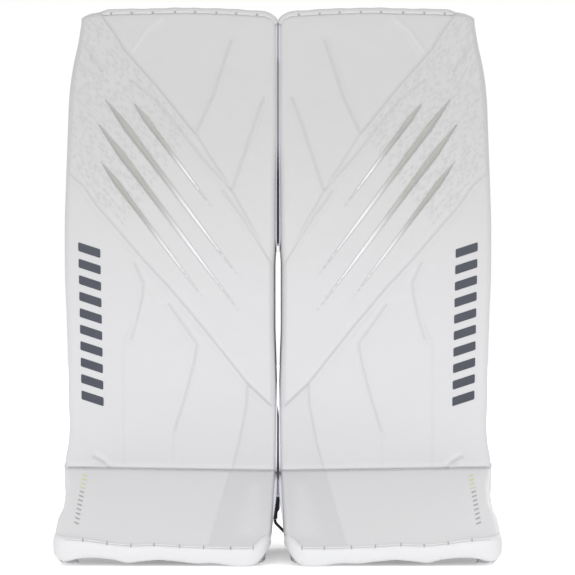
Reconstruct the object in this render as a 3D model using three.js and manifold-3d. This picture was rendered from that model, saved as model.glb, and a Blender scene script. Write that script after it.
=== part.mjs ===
// A pair of ice hockey goalie leg pads, standing upright on their boots.
//
// Millimetres, +Z up. The faces look along -Y and the leg channels open along +Y. The origin is on
// the floor, midway between the two pads. Each pad is drawn once in its own frame, where x runs from
// the outer edge (negative) to the inner edge (positive), and the right pad is its mirror image.
import * as THREE from "three";
import { mergeVertices } from "three/addons/utils/BufferGeometryUtils.js";
import Module from "manifold-3d";

const wasm = await Module();
wasm.setup();

// ---- Driving dimensions -------------------------------------------------------------------------
const PAD_WIDTH = 277; // across the face, just inside the 279 mm (11 in) that the rules allow
const PAD_HEIGHT = 712; // to the top of the jacket, without the laced binding
const PAD_CENTRE = 142.5; // from the midplane of the pair to the middle of each pad
const JACKET = 2.5; // thickness of the synthetic leather jacket with its backing
const GAP = 0.3; // clearance left between pieces that touch

const OUTER = -PAD_WIDTH / 2;
const INNER = PAD_WIDTH / 2;
const SHIN_BOTTOM = 121;
const THIGH_TOP = 700; // where the rounded top edge begins
const STIFFENER = 1.5;
const FACE_FOAM = 22; // depth of the front foam, measured from the face

// The boot turns on the shin about this line, which runs along x through the ankle break.
const ANKLE = { y: -4, z: 94, r: 26 };
const TOE_TOP = { y: -180, z: 25 };
const TOE_UNDER = { y: -158, z: 25 };
const HEEL_Y = 55;
const FLOOR = 0;

// The ankle line is a little behind the middle of the pair, and the origin is in the middle.
const SHIFT_Y = 14.4;

const WEBBING = 2;
const STRAP = 2.5;

// ---- Materials ----------------------------------------------------------------------------------
const material = (color, roughness, metalness = 0) =>
  new THREE.MeshStandardMaterial({ color, roughness, metalness });

const MATERIALS = {
  jacket: material(0xe2e2e5, 0.42),
  rim: material(0xf0f0f1, 0.5),
  foam: material(0xd8d3c4, 0.95),
  plate: material(0x2c2f36, 0.45),
  liner: material(0x1b2340, 0.9),
  strap: material(0xe6e6e8, 0.8),
  webbing: material(0x15161a, 0.8),
  plastic: material(0x15161a, 0.4),
  cord: material(0x121318, 0.85),
};

// ---- Shape helpers ------------------------------------------------------------------------------
// Points that coincide with the one before them are dropped.
function shapeOf(points) {
  const apart = (a, b) => Math.hypot(a[0] - b[0], a[1] - b[1]) > 0.02;
  const kept = points.filter((p, i) => apart(p, points.at(i - 1)));
  return new THREE.Shape(kept.map(([a, b]) => new THREE.Vector2(a, b)));
}

// A polygon with each corner rounded by a quadratic curve that starts `radius` from the corner.
function rounded(points, radius, steps = 3) {
  const out = [];
  points.forEach((corner, i) => {
    const p = new THREE.Vector2(...corner);
    const before = new THREE.Vector2(...points.at(i - 1)).sub(p);
    const after = new THREE.Vector2(...points[(i + 1) % points.length]).sub(p);
    const cut = Math.min(radius, before.length() / 2.01, after.length() / 2.01);
    const a = before.setLength(cut).add(p);
    const b = after.setLength(cut).add(p);
    const bend = new THREE.QuadraticBezierCurve(a, p, b);
    bend.getPoints(steps).forEach((q) => out.push([q.x, q.y]));
  });
  return out;
}

function prism(shape, depth) {
  return new THREE.ExtrudeGeometry(shape, { depth, bevelEnabled: false, curveSegments: 4 });
}

const AXIS = {
  x: new THREE.Vector3(1, 0, 0),
  y: new THREE.Vector3(0, 1, 0),
  z: new THREE.Vector3(0, 0, 1),
};

// Prisms along x, y and z. The outlines are in (y, z), (x, z) and (x, y).
function prismX(points, x0, x1) {
  const basis = new THREE.Matrix4().makeBasis(AXIS.y, AXIS.z, AXIS.x);
  return prism(shapeOf(points), x1 - x0).applyMatrix4(basis).translate(x0, 0, 0);
}

function prismY(points, y0, y1) {
  const basis = new THREE.Matrix4().makeBasis(AXIS.x, AXIS.z, AXIS.y.clone().negate());
  return prism(shapeOf(points), y1 - y0).applyMatrix4(basis).translate(0, y1, 0);
}

const prismZ = (points, z0, z1) => prism(shapeOf(points), z1 - z0).translate(0, 0, z0);

function toSolid(geometry) {
  const bare = geometry.clone();
  bare.deleteAttribute("normal");
  bare.deleteAttribute("uv");
  const merged = mergeVertices(bare, 1e-3);
  const mesh = new wasm.Mesh({
    numProp: 3,
    vertProperties: merged.getAttribute("position").array,
    triVerts: new Uint32Array(merged.index.array),
  });
  return new wasm.Manifold(mesh);
}

function toGeometry(solid) {
  const mesh = solid.getMesh();
  const geometry = new THREE.BufferGeometry();
  geometry.setAttribute("position", new THREE.BufferAttribute(mesh.vertProperties, 3));
  geometry.setIndex(new THREE.BufferAttribute(mesh.triVerts, 1));
  geometry.computeVertexNormals();
  return geometry;
}

// A slab between two depths whose outline has round corners.
const box = ([x0, x1], [y0, y1], [z0, z1], radius) =>
  prismY(rounded([[x0, z0], [x1, z0], [x1, z1], [x0, z1]], radius), y0, y1);

const common = (a, b) => toGeometry(toSolid(a).intersect(toSolid(b)));
const without = (a, b) => toGeometry(toSolid(a).subtract(toSolid(b)));

// A band of even thickness that follows a path in (x, y): the path is its front side.
function bandOutline(path, thickness) {
  const side = path.map(([x, y], i) => {
    const a = path[Math.max(i - 1, 0)];
    const b = path[Math.min(i + 1, path.length - 1)];
    const length = Math.hypot(b[0] - a[0], b[1] - a[1]);
    return [x - ((b[1] - a[1]) / length) * thickness, y + ((b[0] - a[0]) / length) * thickness];
  });
  return [...path, ...side.reverse()];
}

function smoothPath(points, steps) {
  const curve = new THREE.SplineCurve(points.map((p) => new THREE.Vector2(...p)));
  return curve.getPoints(steps).map((p) => [p.x, p.y]);
}

// ---- The shin section: a tall flat box of foam whose thigh rise leans forward -------------------
const FRONT_CURVE = [
  [SHIN_BOTTOM, -30],
  [520, -30],
  [620, -32.5],
  [THIGH_TOP, -35],
];
const BACK_CURVE = [
  [SHIN_BOTTOM, 22],
  [520, 22],
  [580, 19.5],
  [640, 12],
  [THIGH_TOP, 2],
];
const OUTER_EDGE = [
  [-136, SHIN_BOTTOM],
  [-132, 160],
  [-133.2, 220],
  [OUTER, 430],
  [-133.5, 595],
  [-123.5, 674],
  [-116.5, THIGH_TOP],
];
const THIGH_BULGE = 3.7; // how far the thigh rise fills out over the inner edge

const BACK_Y = BACK_CURVE[0][1];
const PANEL_BACK = BACK_Y + GAP + JACKET; // rear surface of the back panel along the shin
const BLOCK_FRONT = PANEL_BACK + GAP; // where the pieces on the back panel begin

function along(curve, z) {
  const next = Math.max(1, curve.findIndex(([at]) => at >= z));
  const [z0, y0] = curve[next - 1];
  const [z1, y1] = curve[next];
  return THREE.MathUtils.mapLinear(z, z0, z1, y0, y1);
}

// The side view of the shin, inset by `inset`, with its back moved out by `behind`.
function shinProfile(inset, behind = -inset) {
  const bottom = SHIN_BOTTOM + inset;
  const front = FRONT_CURVE.map(([z, y]) => [y + inset, Math.max(z, bottom)]);
  const back = BACK_CURVE.map(([z, y]) => [y + behind, Math.max(z, bottom)]).reverse();
  const middle = (front.at(-1)[0] + back[0][0]) / 2;
  const half = (back[0][0] - front.at(-1)[0]) / 2;
  const rise = PAD_HEIGHT - THIGH_TOP - inset;
  const crown = [0.25, 0.5, 0.75].map((share) => [
    middle - Math.cos(Math.PI * share) * half,
    THIGH_TOP + Math.sin(Math.PI * share) * rise,
  ]);
  return [...front, ...crown, ...back];
}

// The part of an upward path that lies above `bottom`, starting exactly there.
function cutOff(path, bottom) {
  const above = path.filter(([, z]) => z > bottom + 0.5);
  const [x0, z0] = path[Math.max(path.length - above.length - 1, 0)];
  const [x1, z1] = above[0];
  return [[THREE.MathUtils.mapLinear(bottom, z0, z1, x0, x1), bottom], ...above];
}

// The front view of the shin: a straight inner edge and an outer edge that bulges at the knee.
function shinOutline(inset) {
  const bottom = SHIN_BOTTOM + inset;
  const edge = cutOff(smoothPath(OUTER_EDGE, 12), bottom).map(([x, z]) => [x + inset, z]);
  const inner = INNER - inset;
  const top = [
    [-106 + inset / 2, PAD_HEIGHT - 3 - inset],
    [-60, PAD_HEIGHT - inset],
    [100, PAD_HEIGHT - inset],
    [131 - inset / 2, PAD_HEIGHT - 3 - inset],
    [inner + THIGH_BULGE, THIGH_TOP - 2],
    [inner + THIGH_BULGE, 560],
    [inner, 505],
    [inner, bottom],
  ];
  return [...edge, ...top].reverse();
}

const shinBlock = (profile, inset) =>
  common(prismX(profile, OUTER - 5, INNER + 5), prismY(shinOutline(inset), -80, 60));

// A layer of the shin between two depths, each given as a function of height.
function shinLayer(frontAt, backAt, inset, bottom, top) {
  const bends = [...FRONT_CURVE, ...BACK_CURVE].map(([z]) => z).sort((a, b) => a - b);
  const heights = [bottom, ...bends.filter((z) => z > bottom + 1 && z < top - 1), top];
  const profile = [
    ...heights.map((z) => [frontAt(z), z]),
    ...heights.map((z) => [backAt(z), z]).reverse(),
  ];
  return shinBlock(profile, inset);
}

const faceAt = (depth) => (z) => along(FRONT_CURVE, z) + depth;
const backAt = (depth) => (z) => along(BACK_CURVE, z) + depth;
const FOAM_INSET = JACKET + GAP;
const FOAM_BOTTOM = SHIN_BOTTOM + FOAM_INSET;
const PLATE_DEPTH = FACE_FOAM + GAP;
const REAR_FOAM_DEPTH = PLATE_DEPTH + STIFFENER + GAP;

const shinCover = () => {
  const hollow = toSolid(shinBlock(shinProfile(JACKET, 10), JACKET));
  return toGeometry(toSolid(shinBlock(shinProfile(0), 0)).subtract(hollow));
};
const faceFoam = () =>
  shinLayer(faceAt(FOAM_INSET), faceAt(FACE_FOAM), FOAM_INSET, FOAM_BOTTOM, THIGH_TOP);
const stiffener = () =>
  shinLayer(faceAt(PLATE_DEPTH), faceAt(PLATE_DEPTH + STIFFENER), 12, FOAM_BOTTOM + 6, 690);
const rearFoam = () =>
  shinLayer(faceAt(REAR_FOAM_DEPTH), backAt(-GAP), FOAM_INSET, FOAM_BOTTOM, THIGH_TOP);
const backPanel = () =>
  shinLayer(backAt(GAP), backAt(GAP + JACKET), 0, SHIN_BOTTOM, THIGH_TOP - GAP);

// The binding that is laced over the top edge.
function topBinding() {
  const grown = (by) => shinBlock(shinProfile(-by), -by);
  const shell = without(grown(GAP + 1.8), grown(GAP));
  return common(shell, box([-112, 134], [-60, 10], [THIGH_TOP, PAD_HEIGHT + 5], 0.5));
}

// ---- The blocks and cushions behind the shin ----------------------------------------------------
const KNEE = { bottom: 405, top: 585, back: 150 };
const KNEE_LAYERS = [58, 86, 113, 142]; // the faces between the three foam layers, along x
const CALF = { bottom: 214, top: 398, back: 125, channel: 72, landing: 130 };
const ANKLE_BLOCK = { bottom: 93, flap: 66, top: 208, back: 95, channel: 104, landing: 142.3 };

function kneeLayer(index) {
  const { bottom, top, back } = KNEE;
  const side = [
    [BLOCK_FRONT, bottom],
    [back, bottom + 22],
    [back, top - 20],
    [back - 40, top],
    [BLOCK_FRONT, top],
  ];
  const x0 = KNEE_LAYERS[index] + (index ? GAP : 0);
  return prismX(rounded(side, 14), x0, KNEE_LAYERS[index + 1]);
}

const kneeCradle = () => box([-86, 56], [BLOCK_FRONT, 46], [448, 566], 22);
const shinCushion = () => box([-82, 66], [BLOCK_FRONT, 42], [146, 400], 20);

function calfBlock() {
  const { bottom, top, back, channel, landing } = CALF;
  const side = [
    [BLOCK_FRONT, bottom],
    [back, bottom],
    [back, top],
    [BLOCK_FRONT, top],
  ];
  return prismX(rounded(side, 12), channel, landing);
}

function ankleBlock() {
  const { bottom, flap, top, back, channel, landing } = ANKLE_BLOCK;
  const side = [
    [BLOCK_FRONT, bottom],
    [back - 35, bottom + 7],
    [back - 16, bottom + 7],
    [back - 16, flap],
    [back - 3, flap],
    [back, flap + 24],
    [back, top],
    [BLOCK_FRONT, top],
  ];
  return prismX(rounded(side, 4, 2), channel, landing);
}

const patch = (x, back, z) => box(x, [back + GAP, back + GAP + 1], z, 5);
const KNEE_STRAP_Z = [470, 520];
const CALF_STRAP_Z = [282, 322];
const BOOT_STRAP_Z = [158, 183];
const PATCH_DEPTH = GAP + 1 + GAP; // from a block's back to the strap on its patch

// ---- The outer wings, which hinge along the outer side of the leg channel -----------------------
const KNEE_WING = [
  [-112, BLOCK_FRONT],
  [-117, 70],
  [-114, 105],
  [-97, 132],
];
const CALF_WING = [
  [-112, BLOCK_FRONT],
  [-118, 75],
  [-114, 115],
  [-92, 142],
];
const WING_THICKNESS = 10;

// A wing is a curved flap. Its outer side follows `path` and `z` gives its bottom and top.
function wing(path, z, radius) {
  const outside = smoothPath(path, 8);
  const flap = prismZ(bandOutline(outside, -WING_THICKNESS), z[0], z[1]);
  const ends = path.at(-1)[1] + 20;
  const side = rounded([[BLOCK_FRONT - 20, z[0]], [ends - 16, z[0]], [ends - 16, z[1]], [BLOCK_FRONT - 20, z[1]]], radius);
  return common(flap, prismX(side, -140, -60));
}

const kneeWing = () => wing(KNEE_WING, [430, 578], 26);
const calfWing = () => wing(CALF_WING, [206, 402], 26);

// The moulded plate on the outside of the calf wing.
function calfWingPlate() {
  const outside = smoothPath(CALF_WING, 16).slice(3, 12);
  const clear = bandOutline(outside, GAP).slice(outside.length).reverse();
  return prismZ(bandOutline(clear, 1.6), 228, 272);
}

// ---- Straps -------------------------------------------------------------------------------------
// Each strap starts at its sewn end, which is also the line it swings about when it is undone.
const KNEE_STRAP_PATH = [
  [-116.5, 107],
  [-109, 124],
  [-93, 139],
  [-66, 147],
  [20, KNEE.back + PATCH_DEPTH + 0.6],
  [132, KNEE.back + PATCH_DEPTH],
];
const CALF_STRAP_PATH = [
  [-116, 118],
  [-107, 134],
  [-88, 147],
  [-56, 148],
  [36, 133],
  [CALF.channel - 8, CALF.back + PATCH_DEPTH],
  [127, CALF.back + PATCH_DEPTH],
];
const BOOT_STRAP_PATH = [
  [-128, BLOCK_FRONT + 1],
  [-128, 54],
  [-118, 84],
  [-88, 103],
  [-50, 108],
  [50, 108],
  [ANKLE_BLOCK.channel - 6, ANKLE_BLOCK.back + PATCH_DEPTH],
  [137, ANKLE_BLOCK.back + PATCH_DEPTH],
];

const strap = (path, thickness, [z0, z1]) =>
  prismZ(rounded(bandOutline(path, thickness), 16, 2), z0, z1);

// The keeper is a flat loop round the boot strap's webbing.
const KEEPER = { x: -4, length: 16, wall: 2.2 };
function keeperLoop() {
  const [z0, z1] = BOOT_STRAP_Z;
  const y0 = 108 - GAP;
  const y1 = 108 + WEBBING + GAP;
  const ring = (by) => [
    [y0 - by, z0 - GAP - by],
    [y1 + by, z0 - GAP - by],
    [y1 + by, z1 + GAP + by],
    [y0 - by, z1 + GAP + by],
  ];
  const x0 = KEEPER.x - KEEPER.length / 2;
  const x1 = KEEPER.x + KEEPER.length / 2;
  return without(prismX(ring(KEEPER.wall), x0, x1), prismX(ring(0), x0 - 1, x1 + 1));
}

// The toe clip hangs under the left ankle block. Its lower half is narrower, where the cord leaves.
const CLIP = { back: 90, thickness: 4, top: ANKLE_BLOCK.flap - GAP };
function toeClip() {
  const { back, thickness, top } = CLIP;
  const outline = rounded(
    [
      [118, top],
      [144.5, top],
      [144.5, top - 18],
      [141.5, top - 21],
      [141.5, top - 31],
      [121, top - 31],
      [121, top - 21],
      [118, top - 18],
    ].reverse(),
    2,
    2,
  );
  return prismY(outline, back - thickness, back);
}

// The elastic cord of the toe tie runs from the clip down to the floor behind the right boot.
const CORD_RADIUS = 2;
const CORD_PATH = [
  [-4.5, 88, CLIP.top - 31 - GAP],
  [-4.4, 88, CLIP.top - 33.5],
  [-3, 88.1, 29],
  [1.5, 88.4, 24.4],
  [9, 89, 17],
  [20, 90, 9],
  [33, 91.5, 4.2],
  [50, 93.5, 2.3],
  [72, 97, 2.2],
  [98, 100.5, 2.2],
  [126, 101.5, 2.2],
  [154, 98.5, 2.2],
  [180, 91.5, 2.2],
  [204, 82.5, 2.2],
  [227, 75, 2.2],
  [249, 70.5, 2.2],
  [270, 70, 2.2],
];
function toeCord() {
  const curve = new THREE.CatmullRomCurve3(CORD_PATH.map((p) => new THREE.Vector3(...p)));
  const frames = curve.computeFrenetFrames(40, false);
  const rings = frames.tangents.map((_, i) => {
    const centre = curve.getPointAt(i / 40);
    return Array.from({ length: 8 }, (__, k) => {
      const angle = (k * Math.PI) / 4;
      return centre
        .clone()
        .addScaledVector(frames.normals[i], CORD_RADIUS * Math.cos(angle))
        .addScaledVector(frames.binormals[i], CORD_RADIUS * Math.sin(angle));
    });
  });
  const ends = [curve.getPointAt(0), curve.getPointAt(1)];
  const index = [];
  rings.slice(1).forEach((_, i) => {
    for (let k = 0; k < 8; k += 1) {
      const next = (k + 1) % 8;
      const [a, b] = [i * 8 + k, i * 8 + next];
      index.push(a, b, b + 8, a, b + 8, a + 8);
    }
  });
  const last = (rings.length - 1) * 8;
  for (let k = 0; k < 8; k += 1) {
    const next = (k + 1) % 8;
    index.push(last + 8, next, k, last + 9, last + k, last + next);
  }
  const geometry = new THREE.BufferGeometry().setFromPoints([...rings.flat(), ...ends]);
  geometry.setIndex(index);
  geometry.computeVertexNormals();
  return geometry;
}

// ---- The boot -----------------------------------------------------------------------------------
// Where the line from `from` touches the circle round the ankle, above it or below it.
function touch(from, radius, side) {
  const dy = ANKLE.y - from.y;
  const dz = ANKLE.z - from.z;
  const turn = Math.atan2(dz, dy) + side * Math.asin(radius / Math.hypot(dy, dz));
  return turn + (side * Math.PI) / 2;
}

function ankleArc(radius, from, to, steps) {
  return Array.from({ length: steps + 1 }, (_, i) => {
    const angle = from + ((to - from) * i) / steps;
    return [ANKLE.y + radius * Math.cos(angle), ANKLE.z + radius * Math.sin(angle)];
  });
}

// The side view of the boot: it is round at the ankle and thins out towards the toe.
function bootProfile(inset, under = inset) {
  const toe = { y: TOE_TOP.y + inset, z: TOE_TOP.z - inset / 2 };
  const sole = { y: TOE_UNDER.y, z: TOE_UNDER.z + under };
  const radius = ANKLE.r - inset;
  const top = touch(toe, radius, 1);
  const bottom = touch(sole, ANKLE.r - under, -1);
  const bend = ankleArc(radius, top, bottom, 8);
  bend[8] = ankleArc(ANKLE.r - under, bottom, bottom, 1)[0];
  return [[toe.y, Math.max(toe.z, TOE_TOP.z - 0.1)], ...bend, [sole.y, Math.max(sole.z, TOE_TOP.z - 0.1)]];
}

// The boot from above: the toe is narrower on its inner side and its corners are round.
function bootPlan(inset) {
  const toe = TOE_TOP.y - 2 + inset;
  return [
    [-138 + inset, 40],
    [-137.5 + inset, -30],
    [-133 + inset, -80],
    [-133 + inset, -102],
    [-138 + inset, -134],
    [-139.5 + inset, -168],
    [-135 + inset, toe + 3],
    [-124 + inset, toe],
    [112 - inset, toe],
    [125 - inset, toe + 4],
    [133 - inset, -166],
    [136 - inset, -110],
    [INNER - inset, -50],
    [INNER - inset, 40],
  ];
}

const bootBlock = (profile, inset) =>
  common(prismX(profile, -150, 150), prismZ(bootPlan(inset), -5, 140));

function bootCover() {
  const hollow = toSolid(bootBlock(bootProfile(JACKET, -12), JACKET));
  return toGeometry(toSolid(bootBlock(bootProfile(0), 0)).subtract(hollow));
}

const bootFoam = () => bootBlock(bootProfile(FOAM_INSET, GAP), FOAM_INSET);

// The liner under the boot, between its two side walls.
function bootLiner() {
  const [y0, z0] = bootProfile(0).at(-1);
  const [y1, z1] = bootProfile(0).at(-2);
  const line = [
    [y0 + 4, z0 - GAP],
    [y1, z1 - GAP],
    [y1, z1 - GAP - 2.4],
    [y0 + 4, z0 - GAP - 2.4],
  ];
  return prismX(line.reverse(), -112, 100);
}

// The solid rim along the toe. Its inner end stands on the floor and its outer end curls up.
const RIM_LIFT = 11;
function toeRim() {
  const side = [
    [TOE_TOP.y - 1, TOE_TOP.z - 0.6],
    [TOE_TOP.y + 4, FLOOR],
    [TOE_UNDER.y + 8, FLOOR],
    [TOE_UNDER.y, TOE_TOP.z - 0.6],
  ];
  const lift = [
    [-150, -10],
    [90, -10],
    [90, FLOOR],
    [-150, RIM_LIFT],
  ];
  return without(bootBlock(side, 0), prismY(lift, -200, -100));
}

// The boot's side walls stand on the floor on each side of the skate. `front` is their view along y.
function bootWall(front) {
  const [toeY, toeZ] = bootProfile(0).at(-1);
  const bottom = touch(TOE_UNDER, ANKLE.r, -1);
  const clear = 0.6;
  const round = ankleArc(ANKLE.r + clear, bottom, -0.25, 3);
  const side = [
    [toeY + 9, FLOOR],
    [HEEL_Y, FLOOR],
    [HEEL_Y, 84],
    ...round.reverse(),
    [toeY + 9, toeZ + 9 * 0.32 - clear],
  ];
  return common(prismX(side, -150, 150), prismY(front, -170, 70));
}

const OUTER_WALL = [
  [-140, FLOOR],
  [-118, FLOOR],
  [-116, 90],
  [-138, 90],
];
const INNER_WALL = [
  [107, FLOOR],
  [129, FLOOR],
  [142.2, 62],
  [142.2, 90],
  [119, 90],
  [119, 62],
];

// The toe bridge is a leather tab, hinged at the back of the toe rim.
const BRIDGE = { x: 45, y: [-148, -108], z: [4, 7] };
function toeBridge() {
  const { x, y, z } = BRIDGE;
  const outline = [
    [-x, y[0]],
    [x, y[0]],
    [x - 12, y[1]],
    [12 - x, y[1]],
  ];
  return prismZ(rounded(outline, 8), z[0], z[1]);
}

// ---- One pad ------------------------------------------------------------------------------------
// Every piece of a pad: its name, its material and its geometry in the pad's own frame.
function padPieces() {
  const m = MATERIALS;
  return [
    ["shin_cover", m.jacket, shinCover()],
    ["face_foam", m.foam, faceFoam()],
    ["shin_stiffener", m.plate, stiffener()],
    ["rear_foam", m.foam, rearFoam()],
    ["back_panel", m.liner, backPanel()],
    ["top_binding", m.rim, topBinding()],
    ["knee_block_channel_layer", m.jacket, kneeLayer(0)],
    ["knee_block_middle_layer", m.jacket, kneeLayer(1)],
    ["knee_block_landing_layer", m.liner, kneeLayer(2)],
    ["knee_cradle", m.liner, kneeCradle()],
    ["shin_cushion", m.liner, shinCushion()],
    ["calf_block", m.jacket, calfBlock()],
    ["ankle_block", m.jacket, ankleBlock()],
    ["knee_strap_patch", m.liner, patch([62, 134], KNEE.back, [472, 518])],
    ["calf_strap_patch", m.liner, patch([76, 127], CALF.back, [284, 320])],
    ["knee_wing", m.jacket, kneeWing()],
    ["knee_strap", m.strap, strap(KNEE_STRAP_PATH, STRAP, KNEE_STRAP_Z)],
    ["calf_wing", m.jacket, calfWing()],
    ["calf_wing_plate", m.plastic, calfWingPlate()],
    ["calf_strap", m.strap, strap(CALF_STRAP_PATH, STRAP, CALF_STRAP_Z)],
    ["boot_strap", m.webbing, strap(BOOT_STRAP_PATH, WEBBING, BOOT_STRAP_Z)],
    ["boot_strap_keeper", m.plastic, keeperLoop()],
    ["boot_cover", m.jacket, bootCover()],
    ["boot_foam", m.foam, bootFoam()],
    ["boot_liner", m.liner, bootLiner()],
    ["toe_rim", m.rim, toeRim()],
    ["boot_outer_wall", m.jacket, bootWall(OUTER_WALL)],
    ["boot_inner_wall", m.jacket, bootWall(INNER_WALL)],
    ["toe_bridge", m.webbing, toeBridge()],
  ];
}

function piece(name, look, geometry) {
  const mesh = new THREE.Mesh(geometry, look);
  mesh.name = name;
  return mesh;
}

function pad(prefix, side) {
  const group = new THREE.Group();
  padPieces().forEach(([name, look, geometry]) => {
    group.add(piece(`${prefix}_${name}`, look, geometry));
  });
  group.position.set(side * PAD_CENTRE, SHIFT_Y, 0);
  group.scale.x = -side;
  return group;
}

const leftPad = pad("left", -1);
leftPad.add(piece("left_toe_clip", MATERIALS.plastic, toeClip()));

const group = new THREE.Group();
group.add(leftPad, pad("right", 1));
const cord = piece("left_toe_cord", MATERIALS.cord, toeCord());
cord.position.y = SHIFT_Y;
group.add(cord);
export default group;
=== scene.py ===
"""A pair of ice hockey goalie leg pads, standing side by side on their boots.

Each piece is built once, for the left pad, in millimetres in the pad's own frame: x runs from the
outer edge (negative) to the inner edge (positive), y from front to back and z up. The right pad's
pieces are mirror images.
"""
import math

import bmesh
import bpy
import numpy as np
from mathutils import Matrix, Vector


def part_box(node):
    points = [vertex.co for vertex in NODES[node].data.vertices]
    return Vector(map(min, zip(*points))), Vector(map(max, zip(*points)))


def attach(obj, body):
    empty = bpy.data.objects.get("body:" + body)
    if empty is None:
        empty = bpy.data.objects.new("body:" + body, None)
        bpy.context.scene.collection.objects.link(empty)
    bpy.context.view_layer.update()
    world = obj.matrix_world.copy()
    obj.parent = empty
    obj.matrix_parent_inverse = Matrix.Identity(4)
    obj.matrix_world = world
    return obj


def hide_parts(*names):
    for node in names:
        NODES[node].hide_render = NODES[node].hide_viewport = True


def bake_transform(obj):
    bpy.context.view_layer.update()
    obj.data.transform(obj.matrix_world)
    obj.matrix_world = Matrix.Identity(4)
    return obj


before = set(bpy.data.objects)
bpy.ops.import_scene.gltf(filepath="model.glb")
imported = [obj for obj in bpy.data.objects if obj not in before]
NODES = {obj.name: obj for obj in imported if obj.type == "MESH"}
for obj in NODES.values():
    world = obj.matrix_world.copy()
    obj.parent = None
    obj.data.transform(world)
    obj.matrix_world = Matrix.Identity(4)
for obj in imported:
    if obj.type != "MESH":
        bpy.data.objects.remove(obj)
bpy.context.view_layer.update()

MM = 0.001
SHIFT_Y = 14.4  # pad frame to row frame, along y
PAD_CENTRE = 142.5
STEP = 1.5  # spacing of the face cover's grid

# ---- The face of the pad -------------------------------------------------------------------------
# FRONT and BACK give y by height, the edges x by height, TOP_EDGE, TOE_LINE and RIM_BOTTOM height by x,
# and BOOT_OUTER and BOOT_INNER x by the share of the way down the boot's face.
FRONT = [(100, -30), (520, -30), (620, -32.5), (700, -35), (720, -35)]
BACK = [(100, 22), (520, 22), (580, 19.5), (640, 12), (700, 2), (720, 2)]
OUTER_EDGE = [
    (100, -138), (123, -136.5), (143, -133), (162, -131.7), (200, -132.7), (242, -133.2),
    (280, -134.3), (320, -135.6), (372, -137.6), (431, -137.8), (485, -136.4), (530, -134.8),
    (570, -133.3), (600, -132), (630, -129), (650, -125.6), (671, -121), (685, -118.2), (700, -115.6),
    (720, -113),
]
INNER_EDGE = [
    (100, 138.6), (150, 139.4), (210, 139.8), (260, 138.6), (300, 137.4), (379, 137.4),
    (400, 138.4), (430, 138.8), (480, 139.2), (510, 139.8), (545, 141.2), (580, 141.8), (720, 141.8),
]
TOP_EDGE = [
    (-119, 699), (-116, 701.5), (-112.5, 704.5), (-107, 707.2), (-96, 709.5), (-80, 710.8),
    (-16, 712.4), (20, 713.2), (64, 712.2), (104, 710.2), (125, 708.6), (131, 706.6), (137, 702),
    (140, 698), (142.5, 694),
]
BOOT_OUTER = [(0, -138), (0.13, -136.4), (0.3, -133), (0.5, -132.9), (0.68, -137.6), (0.87, -139), (1, -138)]
BOOT_INNER = [
    (0, 138.2), (0.13, 137.2), (0.3, 136.6), (0.5, 135.8), (0.68, 134.8), (0.87, 133.2),
    (0.97, 130.5), (1, 128),
]
TOE_LINE = [
    (-140, 37), (-134, 35), (-118, 33.5), (-100, 32.5), (-71, 28.5), (-43, 25.8), (-11, 26.6), (20, 24.6),
    (51, 23.4), (84, 22.4), (112, 22.6), (120, 26), (130, 34), (136, 38),
]
RIM_BOTTOM = [
    (-140, 14), (-134, 9), (-124, 6.6), (-112, 9.6), (-97, 11.4), (-64, 9.4), (-45, 5), (-33, 6.4), (-6, 8.6),
    (20, 6.6), (40, 4.4), (63, 4.6), (83, 1.8), (100, 0.4), (112, 1.6), (122, 8), (128, 16), (136, 24),
]
ANKLE = (-4, 94)  # middle of the ankle's round, in y and z
ANKLE_R = 26
EDGE_R = 6.5  # rounding of the face's edges
SHIN_LENGTH = 598  # the face's lengths above and below the crease
BOOT_LENGTH = 172
GROOVE = 3.4  # depth of the stripes' grooves
# Painted shade: between these heights the face's colour darkens towards its top.
TOP_SHADE_HEIGHTS = (170, 640)  # heights between which the face's colour turns greyer

# Plain straight stripes let into the face: start, end and half width where each is widest.
STRIPES = [
    ((-50, 596), (70, 436), 4.2),
    ((-88, 602), (110, 338), 5.0),
    ((-98, 570.7), (112, 290.7), 5.0),
    ((-94, 520.3), (62, 312.3), 4.2),
]
WIDEST = 0.16  # where along a stripe it is widest
# Embossed seams on the shin.
SEAMS = [
    [(-88, 706), (-72, 684), (-58, 661), (-16, 614), (34, 552), (56, 598), (81, 673)],
    [(-118, 676), (-88, 633)],
    [(-50, 620), (-18, 596), (14, 556), (44, 518), (82, 477), (102, 536), (112, 566), (124, 598)],
    [(70, 476), (94, 444), (112, 417), (133, 383)],
    [(-133, 500), (-113, 482), (-96, 457), (-70, 427), (-34, 385), (-2, 351), (46, 294), (102, 223),
     (134, 193)],
    [(-46, 381), (-34, 355), (-36, 337), (-42, 311), (-50, 281)],
    [(0, 327), (37, 275), (33, 250), (20, 201), (7, 160)],
    [(103, 222), (102, 195), (91, 140), (83, 110)],
]
ARC_SEAM = [(-48, 658), (-41, 668.5), (-28, 686.5), (-9, 701)]
BOOT_SEAM = [(80, 0.0), (68.5, 0.48), (55, 0.98)]  # x and the share of the way down the boot face
DIMPLED = [
    (-140, 712), (-88, 712), (-72, 684), (-16, 614), (34, 552), (10, 520), (-20, 480), (-60, 425),
    (-96, 457), (-113, 482), (-140, 505),
]


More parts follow.
